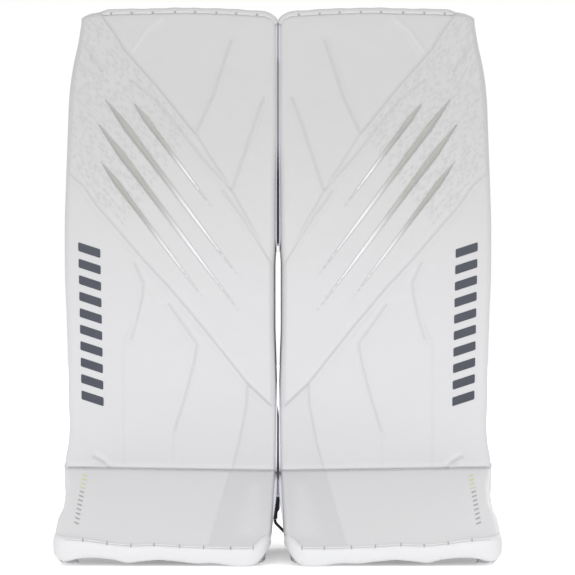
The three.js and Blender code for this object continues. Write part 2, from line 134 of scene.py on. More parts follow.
def interp(table, at):
    """A smooth curve through a table's points, read at each value of at."""
    knots = np.array([row[0] for row in table], float)
    values = np.array([row[1] for row in table], float)
    slopes = np.gradient(values, knots)
    rise = np.diff(values) / np.diff(knots)
    for i in range(len(knots)):
        near = [abs(rise[k]) for k in (i - 1, i) if 0 <= k < len(rise)]
        slopes[i] = np.clip(slopes[i], -2 * min(near), 2 * min(near))
    at = np.clip(at, knots[0], knots[-1])
    i = np.clip(np.searchsorted(knots, at, side="right") - 1, 0, len(knots) - 2)
    h = knots[i + 1] - knots[i]
    t = (at - knots[i]) / h
    a, b = (2 * t + 1) * (1 - t) ** 2, t * t * (3 - 2 * t)
    c, d = t * (1 - t) ** 2, t * t * (t - 1)
    return a * values[i] + b * values[i + 1] + h * (c * slopes[i] + d * slopes[i + 1])


def step(low, high, at):
    t = np.clip((at - low) / (high - low), 0, 1)
    return t * t * (3 - 2 * t)


def path_distance(x, z, path):
    best = np.full(np.shape(x), 1e6)
    for (x0, z0), (x1, z1) in zip(path, path[1:]):
        dx, dz = x1 - x0, z1 - z0
        t = np.clip(((x - x0) * dx + (z - z0) * dz) / (dx * dx + dz * dz), 0, 1)
        best = np.minimum(best, np.hypot(x - x0 - t * dx, z - z0 - t * dz))
    return best


def outline_depth(x, z, outline):
    """How far inside an outline each point is. Outside, it is negative."""
    inside = np.zeros(np.shape(x), bool)
    loop = outline + outline[:1]
    for (x0, z0), (x1, z1) in zip(loop, loop[1:]):
        if z0 != z1:
            crossing = (z0 > z) != (z1 > z)
            inside ^= crossing & (x < (x1 - x0) * (z - z0) / (z1 - z0) + x0)
    distance = path_distance(x, z, loop)
    return np.where(inside, distance, -distance)


def ripple(x, z, size, seed=0):
    """Smooth uneven waves between -1 and 1, from a few crossed sine waves."""
    total = np.zeros(np.shape(x))
    for k in range(5):
        turn = 2.4 * k + seed
        wave = (x * math.cos(turn) + z * math.sin(turn)) / size * (0.7 + 0.23 * k)
        total = total + np.sin(wave * 2 * math.pi + 1.7 * k + seed)
    return total / 5


# ---- Materials -----------------------------------------------------------------------------------
class Look:
    """A procedural material: a Principled shader with noise in its colour, roughness and bump."""

    def __init__(self, name, color, roughness, metallic=0.0, specular=0.5, sheen=0.0):
        self.mat = bpy.data.materials.new(name)
        self.mat.use_nodes = True
        self.tree = self.mat.node_tree
        self.bsdf = self.tree.nodes["Principled BSDF"]
        self.color = (*color, 1)
        for key, value in (
            ("Base Color", self.color), ("Roughness", roughness), ("Metallic", metallic),
            ("Specular IOR Level", specular), ("Sheen Weight", sheen),
        ):
            self.bsdf.inputs[key].default_value = value
        self.mat.diffuse_color = self.color
        self.place = self.node("ShaderNodeTexCoord").outputs["Object"]
        self.socket = None
        self.normal = None

    def feed(self, socket, value):
        """Joins a socket to another one, or gives it a constant."""
        if isinstance(value, bpy.types.NodeSocket):
            self.tree.links.new(value, socket)
        else:
            socket.default_value = value

    def node(self, kind, **inputs):
        made = self.tree.nodes.new(kind)
        for key, value in inputs.items():
            self.feed(made.inputs[key.replace("_", " ")], value)
        return made

    def math(self, operation, a, b=0.0):
        made = self.tree.nodes.new("ShaderNodeMath")
        made.operation = operation
        self.feed(made.inputs[0], a)
        self.feed(made.inputs[1], b)
        return made.outputs[0]

    def noise(self, scale, detail=3.0, rough=0.55):
        made = self.node("ShaderNodeTexNoise", Vector=self.place, Scale=scale, Detail=detail, Roughness=rough)
        return made.outputs[0]

    def cells(self, scale, vector=None, feature="F1"):
        made = self.node("ShaderNodeTexVoronoi", Vector=vector or self.place, Scale=scale)
        made.feature = feature
        return made.outputs["Distance"]

    def ramp(self, value, low, high):
        made = self.node("ShaderNodeMapRange", Value=value, From_Min=low, From_Max=high)
        made.interpolation_type = "SMOOTHSTEP"
        return made.outputs[0]

    def attribute(self, name):
        made = self.tree.nodes.new("ShaderNodeAttribute")
        made.attribute_name = name
        return made.outputs["Fac"]

    def tint(self, factor, color):
        """Mixes another colour over what is there."""
        mix = self.tree.nodes.new("ShaderNodeMix")
        mix.data_type = "RGBA"
        self.feed(mix.inputs["Factor"], factor)
        self.feed(mix.inputs[6], self.socket or self.color)
        self.feed(mix.inputs[7], (*color, 1))
        self.socket = mix.outputs[2]
        self.feed(self.bsdf.inputs["Base Color"], self.socket)

    def shade(self, factor, low, high):
        """Roughness that varies with factor."""
        made = self.node("ShaderNodeMapRange", Value=factor, To_Min=low, To_Max=high)
        self.feed(self.bsdf.inputs["Roughness"], made.outputs[0])

    def bump(self, height, strength, distance):
        """Adds a bump, distance metres deep, on top of those already there."""
        made = self.node("ShaderNodeBump", Height=height, Strength=strength, Distance=distance)
        if self.normal:
            self.feed(made.inputs["Normal"], self.normal)
        self.normal = made.outputs[0]
        self.feed(self.bsdf.inputs["Normal"], self.normal)


def leather(name, color, grime=(0.6, 0.6, 0.585), roughness=0.42, grain=1.0):
    look = Look(name, color, roughness)
    look.tint(look.math("MULTIPLY", look.ramp(look.noise(9, 4), 0.45, 0.8), 0.22), grime)
    look.shade(look.noise(55, 3), roughness - 0.05, roughness + 0.08)
    look.bump(look.noise(70, 3), 0.12 * grain, 0.0012)
    look.bump(look.cells(1150, feature="DISTANCE_TO_EDGE"), 0.2 * grain, 0.0002)
    return look


def woven(name, color, light, thread=1100.0, roughness=0.85):
    """Plain weave: two sets of ribs at right angles, with uneven threads."""
    look = Look(name, color, roughness, specular=0.3, sheen=0.3)
    place = look.node("ShaderNodeMapping", Vector=look.place, Scale=(thread, thread, thread)).outputs[0]
    split = look.node("ShaderNodeSeparateXYZ", Vector=place)
    warp = look.math("SINE", split.outputs["X"])
    weft = look.math("SINE", split.outputs["Z"])
    weave = look.math("MULTIPLY", warp, weft)
    look.tint(look.ramp(weave, -0.4, 1.0), light)
    look.tint(look.math("MULTIPLY", look.ramp(look.noise(24, 4), 0.4, 0.8), 0.35), light)
    look.bump(weave, 0.35, 0.0003)
    look.bump(look.noise(45, 3), 0.15, 0.0015)
    return look


def plastic(name, color, roughness=0.42):
    look = Look(name, color, roughness)
    look.shade(look.noise(90, 4), roughness - 0.08, roughness + 0.12)
    look.bump(look.noise(1400, 2), 0.1, 0.0001)
    return look


WHITE = (0.480, 0.480, 0.494)


def face_leather():
    look = leather("jacket_leather", WHITE, (0.47, 0.47, 0.455))
    # The dimples are short dashes along the stripes' direction, mirrored on the right pad.
    folded = look.tree.nodes.new("ShaderNodeVectorMath")
    folded.operation = "ABSOLUTE"
    look.tree.links.new(look.place, folded.inputs[0])
    mapping = look.node(
        "ShaderNodeMapping", Vector=folded.outputs[0], Scale=(0.0034, 0.0034, 0.0085),
        Rotation=(0, math.radians(35), 0),
    )
    mapping.vector_type = "TEXTURE"
    dots = look.cells(1.0, vector=mapping.outputs[0])
    dash = look.math("SUBTRACT", 1.0, look.ramp(dots, 0.12, 0.62))
    pits = look.math("MULTIPLY", dash, look.attribute("dimple"))
    # Painted shade: the face darker towards its top.
    look.tint(look.attribute("upper"), (0.382, 0.377, 0.378))
    look.tint(look.math("MULTIPLY", pits, 0.42), (0.33, 0.33, 0.335))
    # Painted highlight: a lighter streak along the arc seam.
    look.tint(look.attribute("light"), (0.455, 0.45, 0.455))
    look.tint(look.math("MULTIPLY", look.attribute("seam"), 0.22), (0.31, 0.31, 0.32))
    look.tint(look.math("MULTIPLY", look.attribute("boot"), 0.75), (0.555, 0.552, 0.56))
    # Painted shade: a darker, bluish strip inside the boot's seam and over the shin's wedge by the inner edge
    # (panel mask).
    look.tint(look.math("MULTIPLY", look.attribute("panel"), 0.5), (0.46, 0.46, 0.475))
    look.bump(look.math("MULTIPLY", pits, -1.0), 0.6, 0.0006)
    return look


def film_look():
    """Silvery film: grey and a little green at its start, with a painted highlight that makes it pale towards
    its end.
    """
    look = Look("stripe_film", WHITE, 0.36, metallic=0.1)
    # Painted shade: the film darker towards the top, as the face.
    look.tint(look.attribute("upper"), (0.382, 0.377, 0.378))
    look.tint(look.attribute("grey"), (0.245, 0.245, 0.24))
    look.tint(look.attribute("green"), (0.215, 0.225, 0.15))
    # Painted highlight: the stripes pale towards their ends.
    look.tint(look.attribute("painted_highlight"), (0.62, 0.62, 0.635))
    look.shade(look.noise(60, 3), 0.3, 0.46)
    look.bump(look.noise(420, 3), 0.1, 0.0004)
    return look


LOOKS = {
    "face": face_leather(),
    "jacket": leather("block_leather", (0.50, 0.50, 0.52), (0.46, 0.46, 0.45)),
    "rim": leather("rim_leather", (0.545, 0.545, 0.555), (0.49, 0.49, 0.48), 0.5),
    # The binding is the rim's leather made darker for the top edge: painted shade, like the face's darkening
    # towards its top.
    "binding": leather("binding_leather_shaded", (0.395, 0.39, 0.388), (0.36, 0.36, 0.35), 0.5),
    # Painted light: a lighter, bluer copy of the leather for the lit gaps between the pads.
    "welt": leather("painted_lit_welt", (0.66, 0.66, 0.72), (0.6, 0.6, 0.63), 0.55),
    # Painted shade: a darker copy of the pale welt, for the shaded gap at the knee.
    "shaded_welt": leather("painted_shade_welt", (0.40, 0.40, 0.44), (0.38, 0.38, 0.41), 0.55),
    "film": film_look(),
    "graphic": leather("navy_graphic_vinyl", (0.026, 0.030, 0.046), (0.05, 0.052, 0.065), 0.5, 0.6),
    "grey_mark": leather("grey_mark_vinyl", (0.30, 0.30, 0.30), (0.36, 0.36, 0.36), 0.5, 0.4),
    "lime_mark": leather("lime_mark_vinyl", (0.50, 0.52, 0.30), (0.48, 0.48, 0.36), 0.5, 0.4),
    "liner": woven("navy_nylon", (0.010, 0.014, 0.038), (0.026, 0.034, 0.072), 1500),
    "piping": woven("navy_piping", (0.014, 0.018, 0.042), (0.03, 0.036, 0.07), 2200),
    "strap": woven("white_elastic_strap", (0.42, 0.42, 0.44), (0.56, 0.56, 0.58), 1700),
    "webbing": woven("black_webbing", (0.010, 0.011, 0.014), (0.035, 0.036, 0.042), 1900),
    "hook": Look("hook_and_loop", (0.02, 0.022, 0.03), 0.95, specular=0.2, sheen=0.6),
    "plastic": plastic("black_nylon", (0.012, 0.013, 0.016)),
    "tab": leather("black_leather", (0.018, 0.018, 0.022), (0.035, 0.033, 0.032), 0.45, 1.6),
    "foam": Look("closed_cell_foam", (0.6, 0.57, 0.48), 0.9),
    "plate": plastic("polyethylene_sheet", (0.05, 0.055, 0.06), 0.5),
    "thread": woven("white_lace", (0.56, 0.56, 0.56), (0.66, 0.66, 0.66), 3000, 0.7),
    "lace": woven("pale_lace", (0.43, 0.43, 0.43), (0.52, 0.52, 0.52), 3000, 0.75),
    "dark_thread": woven("grey_thread", (0.18, 0.18, 0.2), (0.26, 0.26, 0.28), 3000, 0.8),
    "tie": woven("pale_grey_tie", (0.28, 0.28, 0.29), (0.37, 0.37, 0.38), 3000, 0.8),
    "steel": Look("eyelet_steel", (0.55, 0.55, 0.56), 0.3, metallic=1.0),
    "cord": woven("braided_cord", (0.008, 0.009, 0.013), (0.03, 0.03, 0.036), 2600),
}
LOOKS["foam"].bump(LOOKS["foam"].cells(900), 0.4, 0.0005)
LOOKS["foam"].tint(LOOKS["foam"].ramp(LOOKS["foam"].noise(30), 0.4, 0.7), (0.5, 0.47, 0.38))
LOOKS["hook"].bump(LOOKS["hook"].noise(2600, 2, 0.7), 0.9, 0.0008)
LOOKS["hook"].tint(LOOKS["hook"].ramp(LOOKS["hook"].noise(1500, 2), 0.45, 0.7), (0.05, 0.055, 0.07))
LOOKS["steel"].shade(LOOKS["steel"].noise(300, 3), 0.22, 0.42)


# ---- Making pieces -------------------------------------------------------------------------------
def to_row(points):
    """Points of the left pad, from its own millimetres to the row frame in metres."""
    p = np.asarray(points, float).reshape(-1, 3)
    return (p + (-PAD_CENTRE, SHIFT_Y, 0)) * MM


def mesh_of(name, points, faces):
    mesh = bpy.data.meshes.new(name)
    mesh.from_pydata(to_row(points).tolist(), [], [list(map(int, f)) for f in faces])
    mesh.validate()
    return mesh


def attribute(mesh, name, values):
    made = mesh.attributes.new(name, "FLOAT", "POINT")
    made.data.foreach_set("value", np.asarray(values, np.float32).ravel())


def add(name, mesh, look, smooth=True):
    obj = bpy.data.objects.new(name, mesh)
    bpy.context.scene.collection.objects.link(obj)
    mesh.materials.clear()
    mesh.materials.append(LOOKS[look].mat)
    mesh.shade_smooth() if smooth else mesh.shade_flat()
    return obj


def mirrored(mesh, name):
    copy = mesh.copy()
    copy.name = name
    co = np.empty(len(copy.vertices) * 3, np.float32)
    copy.vertices.foreach_get("co", co)
    co = co.reshape(-1, 3) * (-1, 1, 1)
    copy.vertices.foreach_set("co", co.astype(np.float32).ravel())
    copy.flip_normals()
    copy.update()
    return copy


def both(name, mesh, look, body, replaces=(), blend=None, smooth=True, only_left=False):
    """Adds a piece of the left pad and its mirror image on the right pad.

    mesh is a mesh, (points, faces) or a list of such pairs.
    """
    if isinstance(mesh, list):
        mesh = join(mesh)
    if isinstance(mesh, tuple):
        mesh = mesh_of(name, *mesh)
    made = []
    for side in ["left"] if only_left else ["left", "right"]:
        data = mesh if side == "left" else mirrored(mesh, f"right_{name}")
        obj = add(f"{side}_{name}", data, look, smooth)
        if blend:
            a, b, start, end = blend
            flip = 1 if side == "left" else -1
            start, end = (Vector(to_row(p)[0] * (flip, 1, 1)) for p in (start, end))
            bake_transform(obj)
        else:
            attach(obj, f"{side}_{body}")
        if replaces:
            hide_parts(*[f"{side}_{node}" for node in replaces])
        made.append(obj)
    return made


def baked(obj):
    """The object's mesh with its modifiers applied. The object goes."""
    bpy.context.view_layer.update()
    graph = bpy.context.evaluated_depsgraph_get()
    mesh = bpy.data.meshes.new_from_object(obj.evaluated_get(graph))
    bpy.data.objects.remove(obj)
    return mesh


def scratch(mesh):
    obj = bpy.data.objects.new("scratch", mesh)
    bpy.context.scene.collection.objects.link(obj)
    return obj


def cad_mesh(node):
    """A welded copy of a CAD node's mesh, with its flat sides merged."""
    bm = bmesh.new()
    bm.from_mesh(NODES[node].data)
    bmesh.ops.remove_doubles(bm, verts=bm.verts, dist=1e-6)
    bmesh.ops.dissolve_limit(bm, angle_limit=math.radians(1), verts=bm.verts, edges=bm.edges)
    mesh = bpy.data.meshes.new(node)
    bm.to_mesh(mesh)
    bm.free()
    return mesh


def softened(node, width, segments=3):
    """A CAD node's shape with rounded edges."""
    obj = scratch(cad_mesh(node))
    bevel = obj.modifiers.new("bevel", "BEVEL")
    bevel.width = width * MM
    bevel.segments = segments
    bevel.limit_method = "ANGLE"
    bevel.angle_limit = math.radians(30)
    bevel.use_clamp_overlap = True
    return baked(obj)


def numbered(rows, cols, ring=False, first=0):
    """Point numbers laid out as a grid. With ring, its last column meets its first."""
    index = first + np.arange(rows * cols).reshape(rows, cols)
    return np.concatenate([index, index[:, :1]], 1) if ring else index


def quads(index):
    """The faces between neighbours in a grid of point numbers."""
    corners = [index[:-1, :-1], index[1:, :-1], index[1:, 1:], index[:-1, 1:]]
    return np.stack(corners, -1).reshape(-1, 4)


def headings(plan):
    """Each point of a plan with the unit direction along the plan there."""
    out = []
    for i, (x, y) in enumerate(plan):
        (ax, ay), (bx, by) = plan[max(i - 1, 0)], plan[min(i + 1, len(plan) - 1)]
        length = math.hypot(bx - ax, by - ay)
        out.append((x, y, (bx - ax) / length, (by - ay) / length))
    return out


def smooth_by_angle(mesh, degrees=35):
    mesh.shade_smooth()
    mesh.set_sharp_from_angle(angle=math.radians(degrees))


def join(parts):
    """Joins (points, faces) lists into one."""
    points, faces = [], []
    for more, loops in parts:
        base = len(points)
        points += [tuple(p) for p in more]
        faces += [[base + i for i in loop] for loop in loops]
    return points, faces


def tube(path, radius, sides=8, closed=False, flat=None, taper=False):
    """A round or flattened tube along a path in pad millimetres. flat is (width share, thickness share).

    radius is one number, or one for each point.
    """
    path = [Vector(p) for p in path]
    n = len(path)
    points = []
    normal = None
    for i, p in enumerate(path):
        a = path[(i - 1) % n] if closed else path[max(i - 1, 0)]
        b = path[(i + 1) % n] if closed else path[min(i + 1, n - 1)]
        along = (b - a).normalized()
        if normal is None:
            normal = along.orthogonal().normalized()
            if abs(along.y) < 0.9:
                normal = (Vector((0, 1, 0)) - along * along.y).normalized()
        normal = (normal - along * normal.dot(along)).normalized()
        across = along.cross(normal)
        wide, thick = flat or (1, 1)
        shrink = math.sqrt(max(0.05, 1 - (2 * i / (n - 1) - 1) ** 4)) if taper else 1
        for k in range(sides):
            turn = 2 * math.pi * k / sides
            offset = across * (math.cos(turn) * wide) + normal * (math.sin(turn) * thick)
            points.append(p + offset * (radius[i] if np.ndim(radius) else radius) * shrink)
    index = numbered(n, sides, ring=True)
    faces = quads(np.concatenate([index, index[:1]]) if closed else index).tolist()
    if not closed:
        faces += [list(range(sides)), list(range((n - 1) * sides, n * sides))[::-1]]
    return points, faces


# ---- Camera, light and floor ---------------------------------------------------------------------
def set_the_stage():
    camera = bpy.data.cameras.new("camera")
    camera.sensor_width = 36
    camera.lens = 157.5
    eye = bpy.data.objects.new("camera", camera)
    eye.location = (0.0125, -3.3156, 0.3495)
    eye.rotation_euler = (math.pi / 2, 0, 0)
    bpy.context.scene.collection.objects.link(eye)
    bpy.context.scene.camera = eye

    world = bpy.data.worlds.new("studio")
    world.use_nodes = True
    world.node_tree.nodes["Background"].inputs[0].default_value = (1, 1, 1, 1)
    world.node_tree.nodes["Background"].inputs[1].default_value = 1.0
    bpy.context.scene.world = world
    bpy.context.scene.view_settings.view_transform = "Standard"

    def lamp(name, kind, place, aim, power):
        light = bpy.data.lights.new(name, kind)
        light.energy = power
        obj = bpy.data.objects.new(name, light)
        obj.location = place
        obj.rotation_euler = (Vector(aim) - Vector(place)).to_track_quat("-Z", "Y").to_euler()
        bpy.context.scene.collection.objects.link(obj)
        return light

    lamp("key", "SUN", (-0.25, -2.4, 1.9), (0, 0, 0.3), 0.7).angle = math.radians(35)
    lamp("fill", "SUN", (1.5, 2.4, 2.0), (0, 0, 0.3), 0.45).angle = math.radians(35)
    lamp("front", "AREA", (0.0, -3.2, 0.7), (0, 0, 0.36), 18).size = 0.8

    floor = bpy.data.meshes.new("floor")
    floor.from_pydata([(-8, -8, 0), (8, -8, 0), (8, 8, 0), (-8, 8, 0)], [], [(0, 1, 2, 3)])
    paper = Look("pale_floor", (0.96, 0.96, 0.96), 0.9, specular=0.1)
    paper.tint(paper.math("MULTIPLY", paper.noise(3, 2), 0.05), (0.93, 0.93, 0.93))
    paper.bsdf.inputs["Emission Color"].default_value = (1, 1, 1, 1)
    paper.bsdf.inputs["Emission Strength"].default_value = 0.3
    ground = bpy.data.objects.new("floor", floor)
    floor.materials.append(paper.mat)
    bpy.context.scene.collection.objects.link(ground)


# ---- The cord and the clip -----------------------------------------------------------------------
CORD_PATH = [
    (-4.5, 88, 34.4), (-4.4, 88, 32.2), (-3, 88.1, 29), (1.5, 88.4, 24.4), (9, 89, 17), (20, 90, 9),
    (33, 91.5, 4.2), (50, 93.5, 2.3), (72, 97, 2.2), (98, 100.5, 2.2), (126, 101.5, 2.2),
    (154, 98.5, 2.2), (180, 91.5, 2.2), (204, 82.5, 2.2), (227, 75, 2.2), (249, 70.5, 2.2), (270, 70, 2.2),
]


def catmull(points, per_span):
    """Points on a smooth curve through the given ones."""
    p = [Vector(q) for q in points]
    p = [p[0] * 2 - p[1]] + p + [p[-1] * 2 - p[-2]]
    out = []
    for i in range(1, len(p) - 2):
        for k in range(per_span):
            t = k / per_span
            a, b, c, d = p[i - 1 : i + 3]
            bend = (2 * a - 5 * b + 4 * c - d) * t * t + (3 * b - a - 3 * c + d) * t ** 3
            out.append(0.5 * (2 * b + (c - a) * t + bend))
    return out + [p[-2]]


def make_cord():
    local = [(x + PAD_CENTRE, y, z) for x, y, z in catmull(CORD_PATH, 6)]
    cord = add("left_toe_cord_braid", mesh_of("left_toe_cord_braid", *tube(local, 2.0, 12)), "cord")
    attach(cord, "left_shin")
    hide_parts("left_toe_cord")
    end = Vector(local[-1])
    # The knot is a trefoil drawn tight, which swells the cord's end.
    wrap = []
    for k in range(48):
        t = 2 * math.pi * k / 48
        wrap.append(
            (
                end.x + 3.4 * (math.sin(t) + 2 * math.sin(2 * t)) / 3,
                end.y + 3.4 * (math.cos(t) - 2 * math.cos(2 * t)) / 3,
                end.z + 1.9 - 1.6 * math.sin(3 * t),
            )
        )
    knot = add("left_toe_cord_knot", mesh_of("left_toe_cord_knot", *tube(wrap, 1.9, 10, closed=True)), "cord")
    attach(knot, "left_shin")


def make_clip():
    body = softened("left_toe_clip", 0.9)
    smooth_by_angle(body)
    both("toe_clip_body", body, "plastic", "shin", ["toe_clip"], only_left=True)
    # A webbing loop comes down out of the ankle block and round the clip's top bar.
    ribs = [tube([(122, 85.7, z), (140, 85.7, z)], 0.7, 6) for z in (57, 53, 49)]
    loop = tube([(131, 85.2, 64.5), (131, 85.0, 60), (131, 85.2, 58.8)], 6.5, 10, flat=(1, 0.12))
    both("toe_clip_ribs", ribs, "plastic", "shin", only_left=True)
    both("toe_clip_webbing", loop, "webbing", "shin", only_left=True)


# ---- The face cover ------------------------------------------------------------------------------
CREASE_Y = -30


def crease_z(x):
    """Height of the crease between the shin and the boot."""
    return 112.6 - 0.016 * (x + 137)


def toe_y(z):
    """Where the boot's face ends, for the height that it ends at."""
    return -181.5 + (z - 23) * 1.25


def along_rail(rail, shares):
    """Points at the given shares of a rail's length."""
    pts = np.array(rail, float)
    run = np.concatenate([[0], np.cumsum(np.hypot(*np.diff(pts, axis=0).T))])
    return np.stack([np.interp(np.asarray(shares) * run[-1], run, pts[:, k]) for k in (0, 1)], -1)


BAND = [
    (-140, 713), (-88, 706), (-72, 684), (-58, 661), (-16, 614), (34, 552), (82, 477), (133, 383), (134, 193),
    (102, 223), (46, 294), (-2, 351), (-34, 385), (-70, 427), (-96, 457), (-113, 482), (-140, 505),
]
WEDGE = [(103, 222), (134, 193), (142, 193), (142, 100), (83, 100), (91, 140), (102, 195)]
FACET = [
    (0, 327), (37, 275), (33, 250), (20, 201), (6, 158), (5, 100), (-60, 100), (-60, 281),
    (-42, 311), (-34, 345),
]


def shin_base(x, z):
    """Height of the shin's face above its flat without the stripes' grooves, in mm, and its seam mask."""
    relief = 0.5 * ripple(x, z, 170, 1.0) + 0.14 * ripple(x, z, 48, 4.0)
    seams = np.zeros(np.shape(x))
    for path in SEAMS:
        d = path_distance(x, z, path)
        seams = np.maximum(seams, np.exp(-((d / 1.1) ** 2)))
        relief = relief + 0.35 * np.exp(-(((d - 3.6) / 2.6) ** 2))
    arc = path_distance(x, z, ARC_SEAM)
    relief = relief - 0.8 * seams + 1.1 * np.exp(-((arc / 3.6) ** 2))
    # The band that carries the stripes is set a little proud of the field round it.
    relief = relief + 1.5 * step(-2.2, 2.2, outline_depth(x, z, BAND))
    relief = relief - 0.9 * step(-2.2, 2.2, outline_depth(x, z, WEDGE))
    return relief + 0.7 * step(-2.2, 2.2, outline_depth(x, z, FACET)), seams


def stripe_rails(start, end, half):
    """The upper and lower edge of a straight stripe that tapers to a point at both ends."""
    (x0, z0), (x1, z1) = start, end
    length = math.hypot(x1 - x0, z1 - z0)
    nx, nz = (z0 - z1) / length * half, (x1 - x0) / length * half
    x, z = x0 + (x1 - x0) * WIDEST, z0 + (z1 - z0) * WIDEST
    return [start, (x + nx, z + nz), end], [start, (x - nx, z - nz), end]


def shin_relief(x, z):
    """The same with the grooves, and its seam, dimple and panel masks."""
    relief, seams = shin_base(x, z)
    for stripe in STRIPES:
        upper, lower = stripe_rails(*stripe)
        d = outline_depth(x, z, upper + [lower[1]])
        relief = relief - GROOVE * step(0.1, 1.5, d)
    dimple = step(0.0, 8.0, outline_depth(x, z, DIMPLED))
    # The panel mask is painted shade: the wedge by the inner edge drawn darker.
    return relief, seams, dimple, 0.7 * step(-2.2, 2.2, outline_depth(x, z, WEDGE))


def boot_relief(x, v):
    down = v * BOOT_LENGTH
    relief = 1.6 * np.sin(np.pi * np.clip(v, 0, 1)) + 0.5 * ripple(x, down, 120, 2.0)
    path = [(px, pv * BOOT_LENGTH) for px, pv in BOOT_SEAM]
    d = path_distance(x, down, path)
    seam = np.exp(-((d / 1.2) ** 2))
    inner = outline_depth(x, down, path + [(150, 180), (150, -5)])
    relief = relief - 0.8 * seam - 0.9 * step(-2.0, 2.0, inner)
    streaks = np.sin((x + 0.25 * down) / 2.3) * ripple(x, down * 0.4, 30, 3.0)
    relief = relief + 0.3 * streaks * step(2, 14, inner) * step(170, 130, down) * step(-5, 20, down)
    # The panel mask is painted shade: darker just inside the seam, fading inwards.
    panel = step(-1.5, 1.5, inner) * (1 - 0.85 * step(18, 44, inner))
    return relief, seam, panel


def cover_grid():
    """The face's grid, row by row from the top edge to the toe line, with its masks and wall ends."""
    near = EDGE_R * (1 - np.cos(np.linspace(0, math.pi / 2, 6)))[:-1]
    far = near[::-1]
    share = np.linspace(0, 1, int(276 / STEP))
    fine = np.arange(0, 11, 0.7)

    def across(left, right):
        left_in, right_in = left + EDGE_R, right - EDGE_R
        return np.concatenate([left + near, left_in + (right_in - left_in) * share, right - far])

    def rounding(inset, radius):
        return radius - np.sqrt(np.maximum(0, radius ** 2 - np.maximum(0, radius - inset) ** 2))

    rows, ends = [], []

    def row(x, y, z, seam, dimple, boot, panel, back_left, back_right):
        rows.append([x, y, z, seam, dimple, boot, panel])
        ends.append((back_left, back_right))

    up = np.concatenate([fine, np.linspace(11, SHIN_LENGTH - EDGE_R, int(580 / STEP)), SHIN_LENGTH - far])
    for high in up[::-1]:
        t = 1 - high / SHIN_LENGTH
        z_mid = 707 + (110 - 707) * t
        x = across(float(interp(OUTER_EDGE, min(z_mid, 701))), float(interp(INNER_EDGE, z_mid)))
        top = interp(TOP_EDGE, x)
        crease = crease_z(x)
        z = top + (crease - top) * t
        inset = np.minimum.reduce([x - x[0], x[-1] - x, top - z])
        relief, seam, dimple, panel = shin_relief(x, z)
        fade = step(0, 7, inset)
        lift = z - crease
        # The shin's lower edge overhangs the crease, and a wrinkle runs into it from the outer side.
        relief = relief * fade + 1.5 * np.exp(-(((lift - 3.4) / 2.4) ** 2)) - 1.9 * np.exp(-((lift / 1.2) ** 2))
        fold = path_distance(x, z, [(-99, 125), (-88, 118.5), (-80, 112)])
        above = path_distance(x, z, [(-97, 130), (-86, 123.5), (-77, 117)])
        relief = relief - 1.5 * np.exp(-((fold / 2.1) ** 2)) + 0.9 * np.exp(-((above / 2.8) ** 2))
        backs = [(float(interp(BACK, edge)), float(edge)) for edge in (z[0], z[-1])]
        row(
            x, interp(FRONT, z) + rounding(inset, EDGE_R) - relief, z, seam * fade, dimple * fade,
            np.zeros(len(x)), panel * fade, *backs,
        )

    slope = math.atan2(84, 150)
    down = np.concatenate([fine[1:], np.linspace(11, BOOT_LENGTH, int(161 / STEP))]) / BOOT_LENGTH
    for v in down:
        x = across(float(interp(BOOT_OUTER, v)), float(interp(BOOT_INNER, v)))
        crease = crease_z(x)
        toe_z = interp(TOE_LINE, x)
        y = CREASE_Y + (toe_y(toe_z) - CREASE_Y) * v
        z = crease + (toe_z - crease) * v
        inset = np.minimum(x - x[0], x[-1] - x)
        full = np.full(x.shape, v)
        relief, seam, panel = boot_relief(x, full)
        fade = step(0, 8, inset)
        relief = relief * fade - 1.7 * math.exp(-((v * BOOT_LENGTH / 1.4) ** 2))
        relief = relief - 1.2 * step(0.965, 1.0, full) - 1.8 * step(26, 0, x[-1] - x) * v
        # Soft pillows where the lace pulls the toe edge in.
        relief = relief + 0.5 * np.sin((x + 101) / 30.5 * 2 * math.pi - 1.6) * step(0.86, 1.0, full)
        push = relief - rounding(inset, EDGE_R + 2 * v)
        turned = step(0.0, 0.03, full)
        ny, nz = -1 + (1 - math.sin(slope)) * turned, math.cos(slope) * turned
        if v < 0.12:
            angle = math.pi / 2 * (1 - v / 0.12 * 1.85)
            back = (ANKLE[0] + ANKLE_R * math.cos(angle), ANKLE[1] + ANKLE_R * math.sin(angle))
        else:
            w = (v - 0.12) / 0.88
            back = (4 + (-160 - 4) * w, 68.5 + (25 - 68.5) * w)
        row(
            x, y + ny * push, z + nz * push, seam * fade, np.zeros(len(x)), step(0, 0.03, full),
            panel * fade, back, back,
        )
    # The toe edge is tucked down under the rim.
    x, y, z, *masks = rows[-1]
    for inward, under in ((1.2, 3.5), (4.0, 8.0)):
        rows.append([x, y + inward, z - under, *masks])
        ends.append(ends[-1])
    return np.array(rows).transpose(1, 0, 2), ends


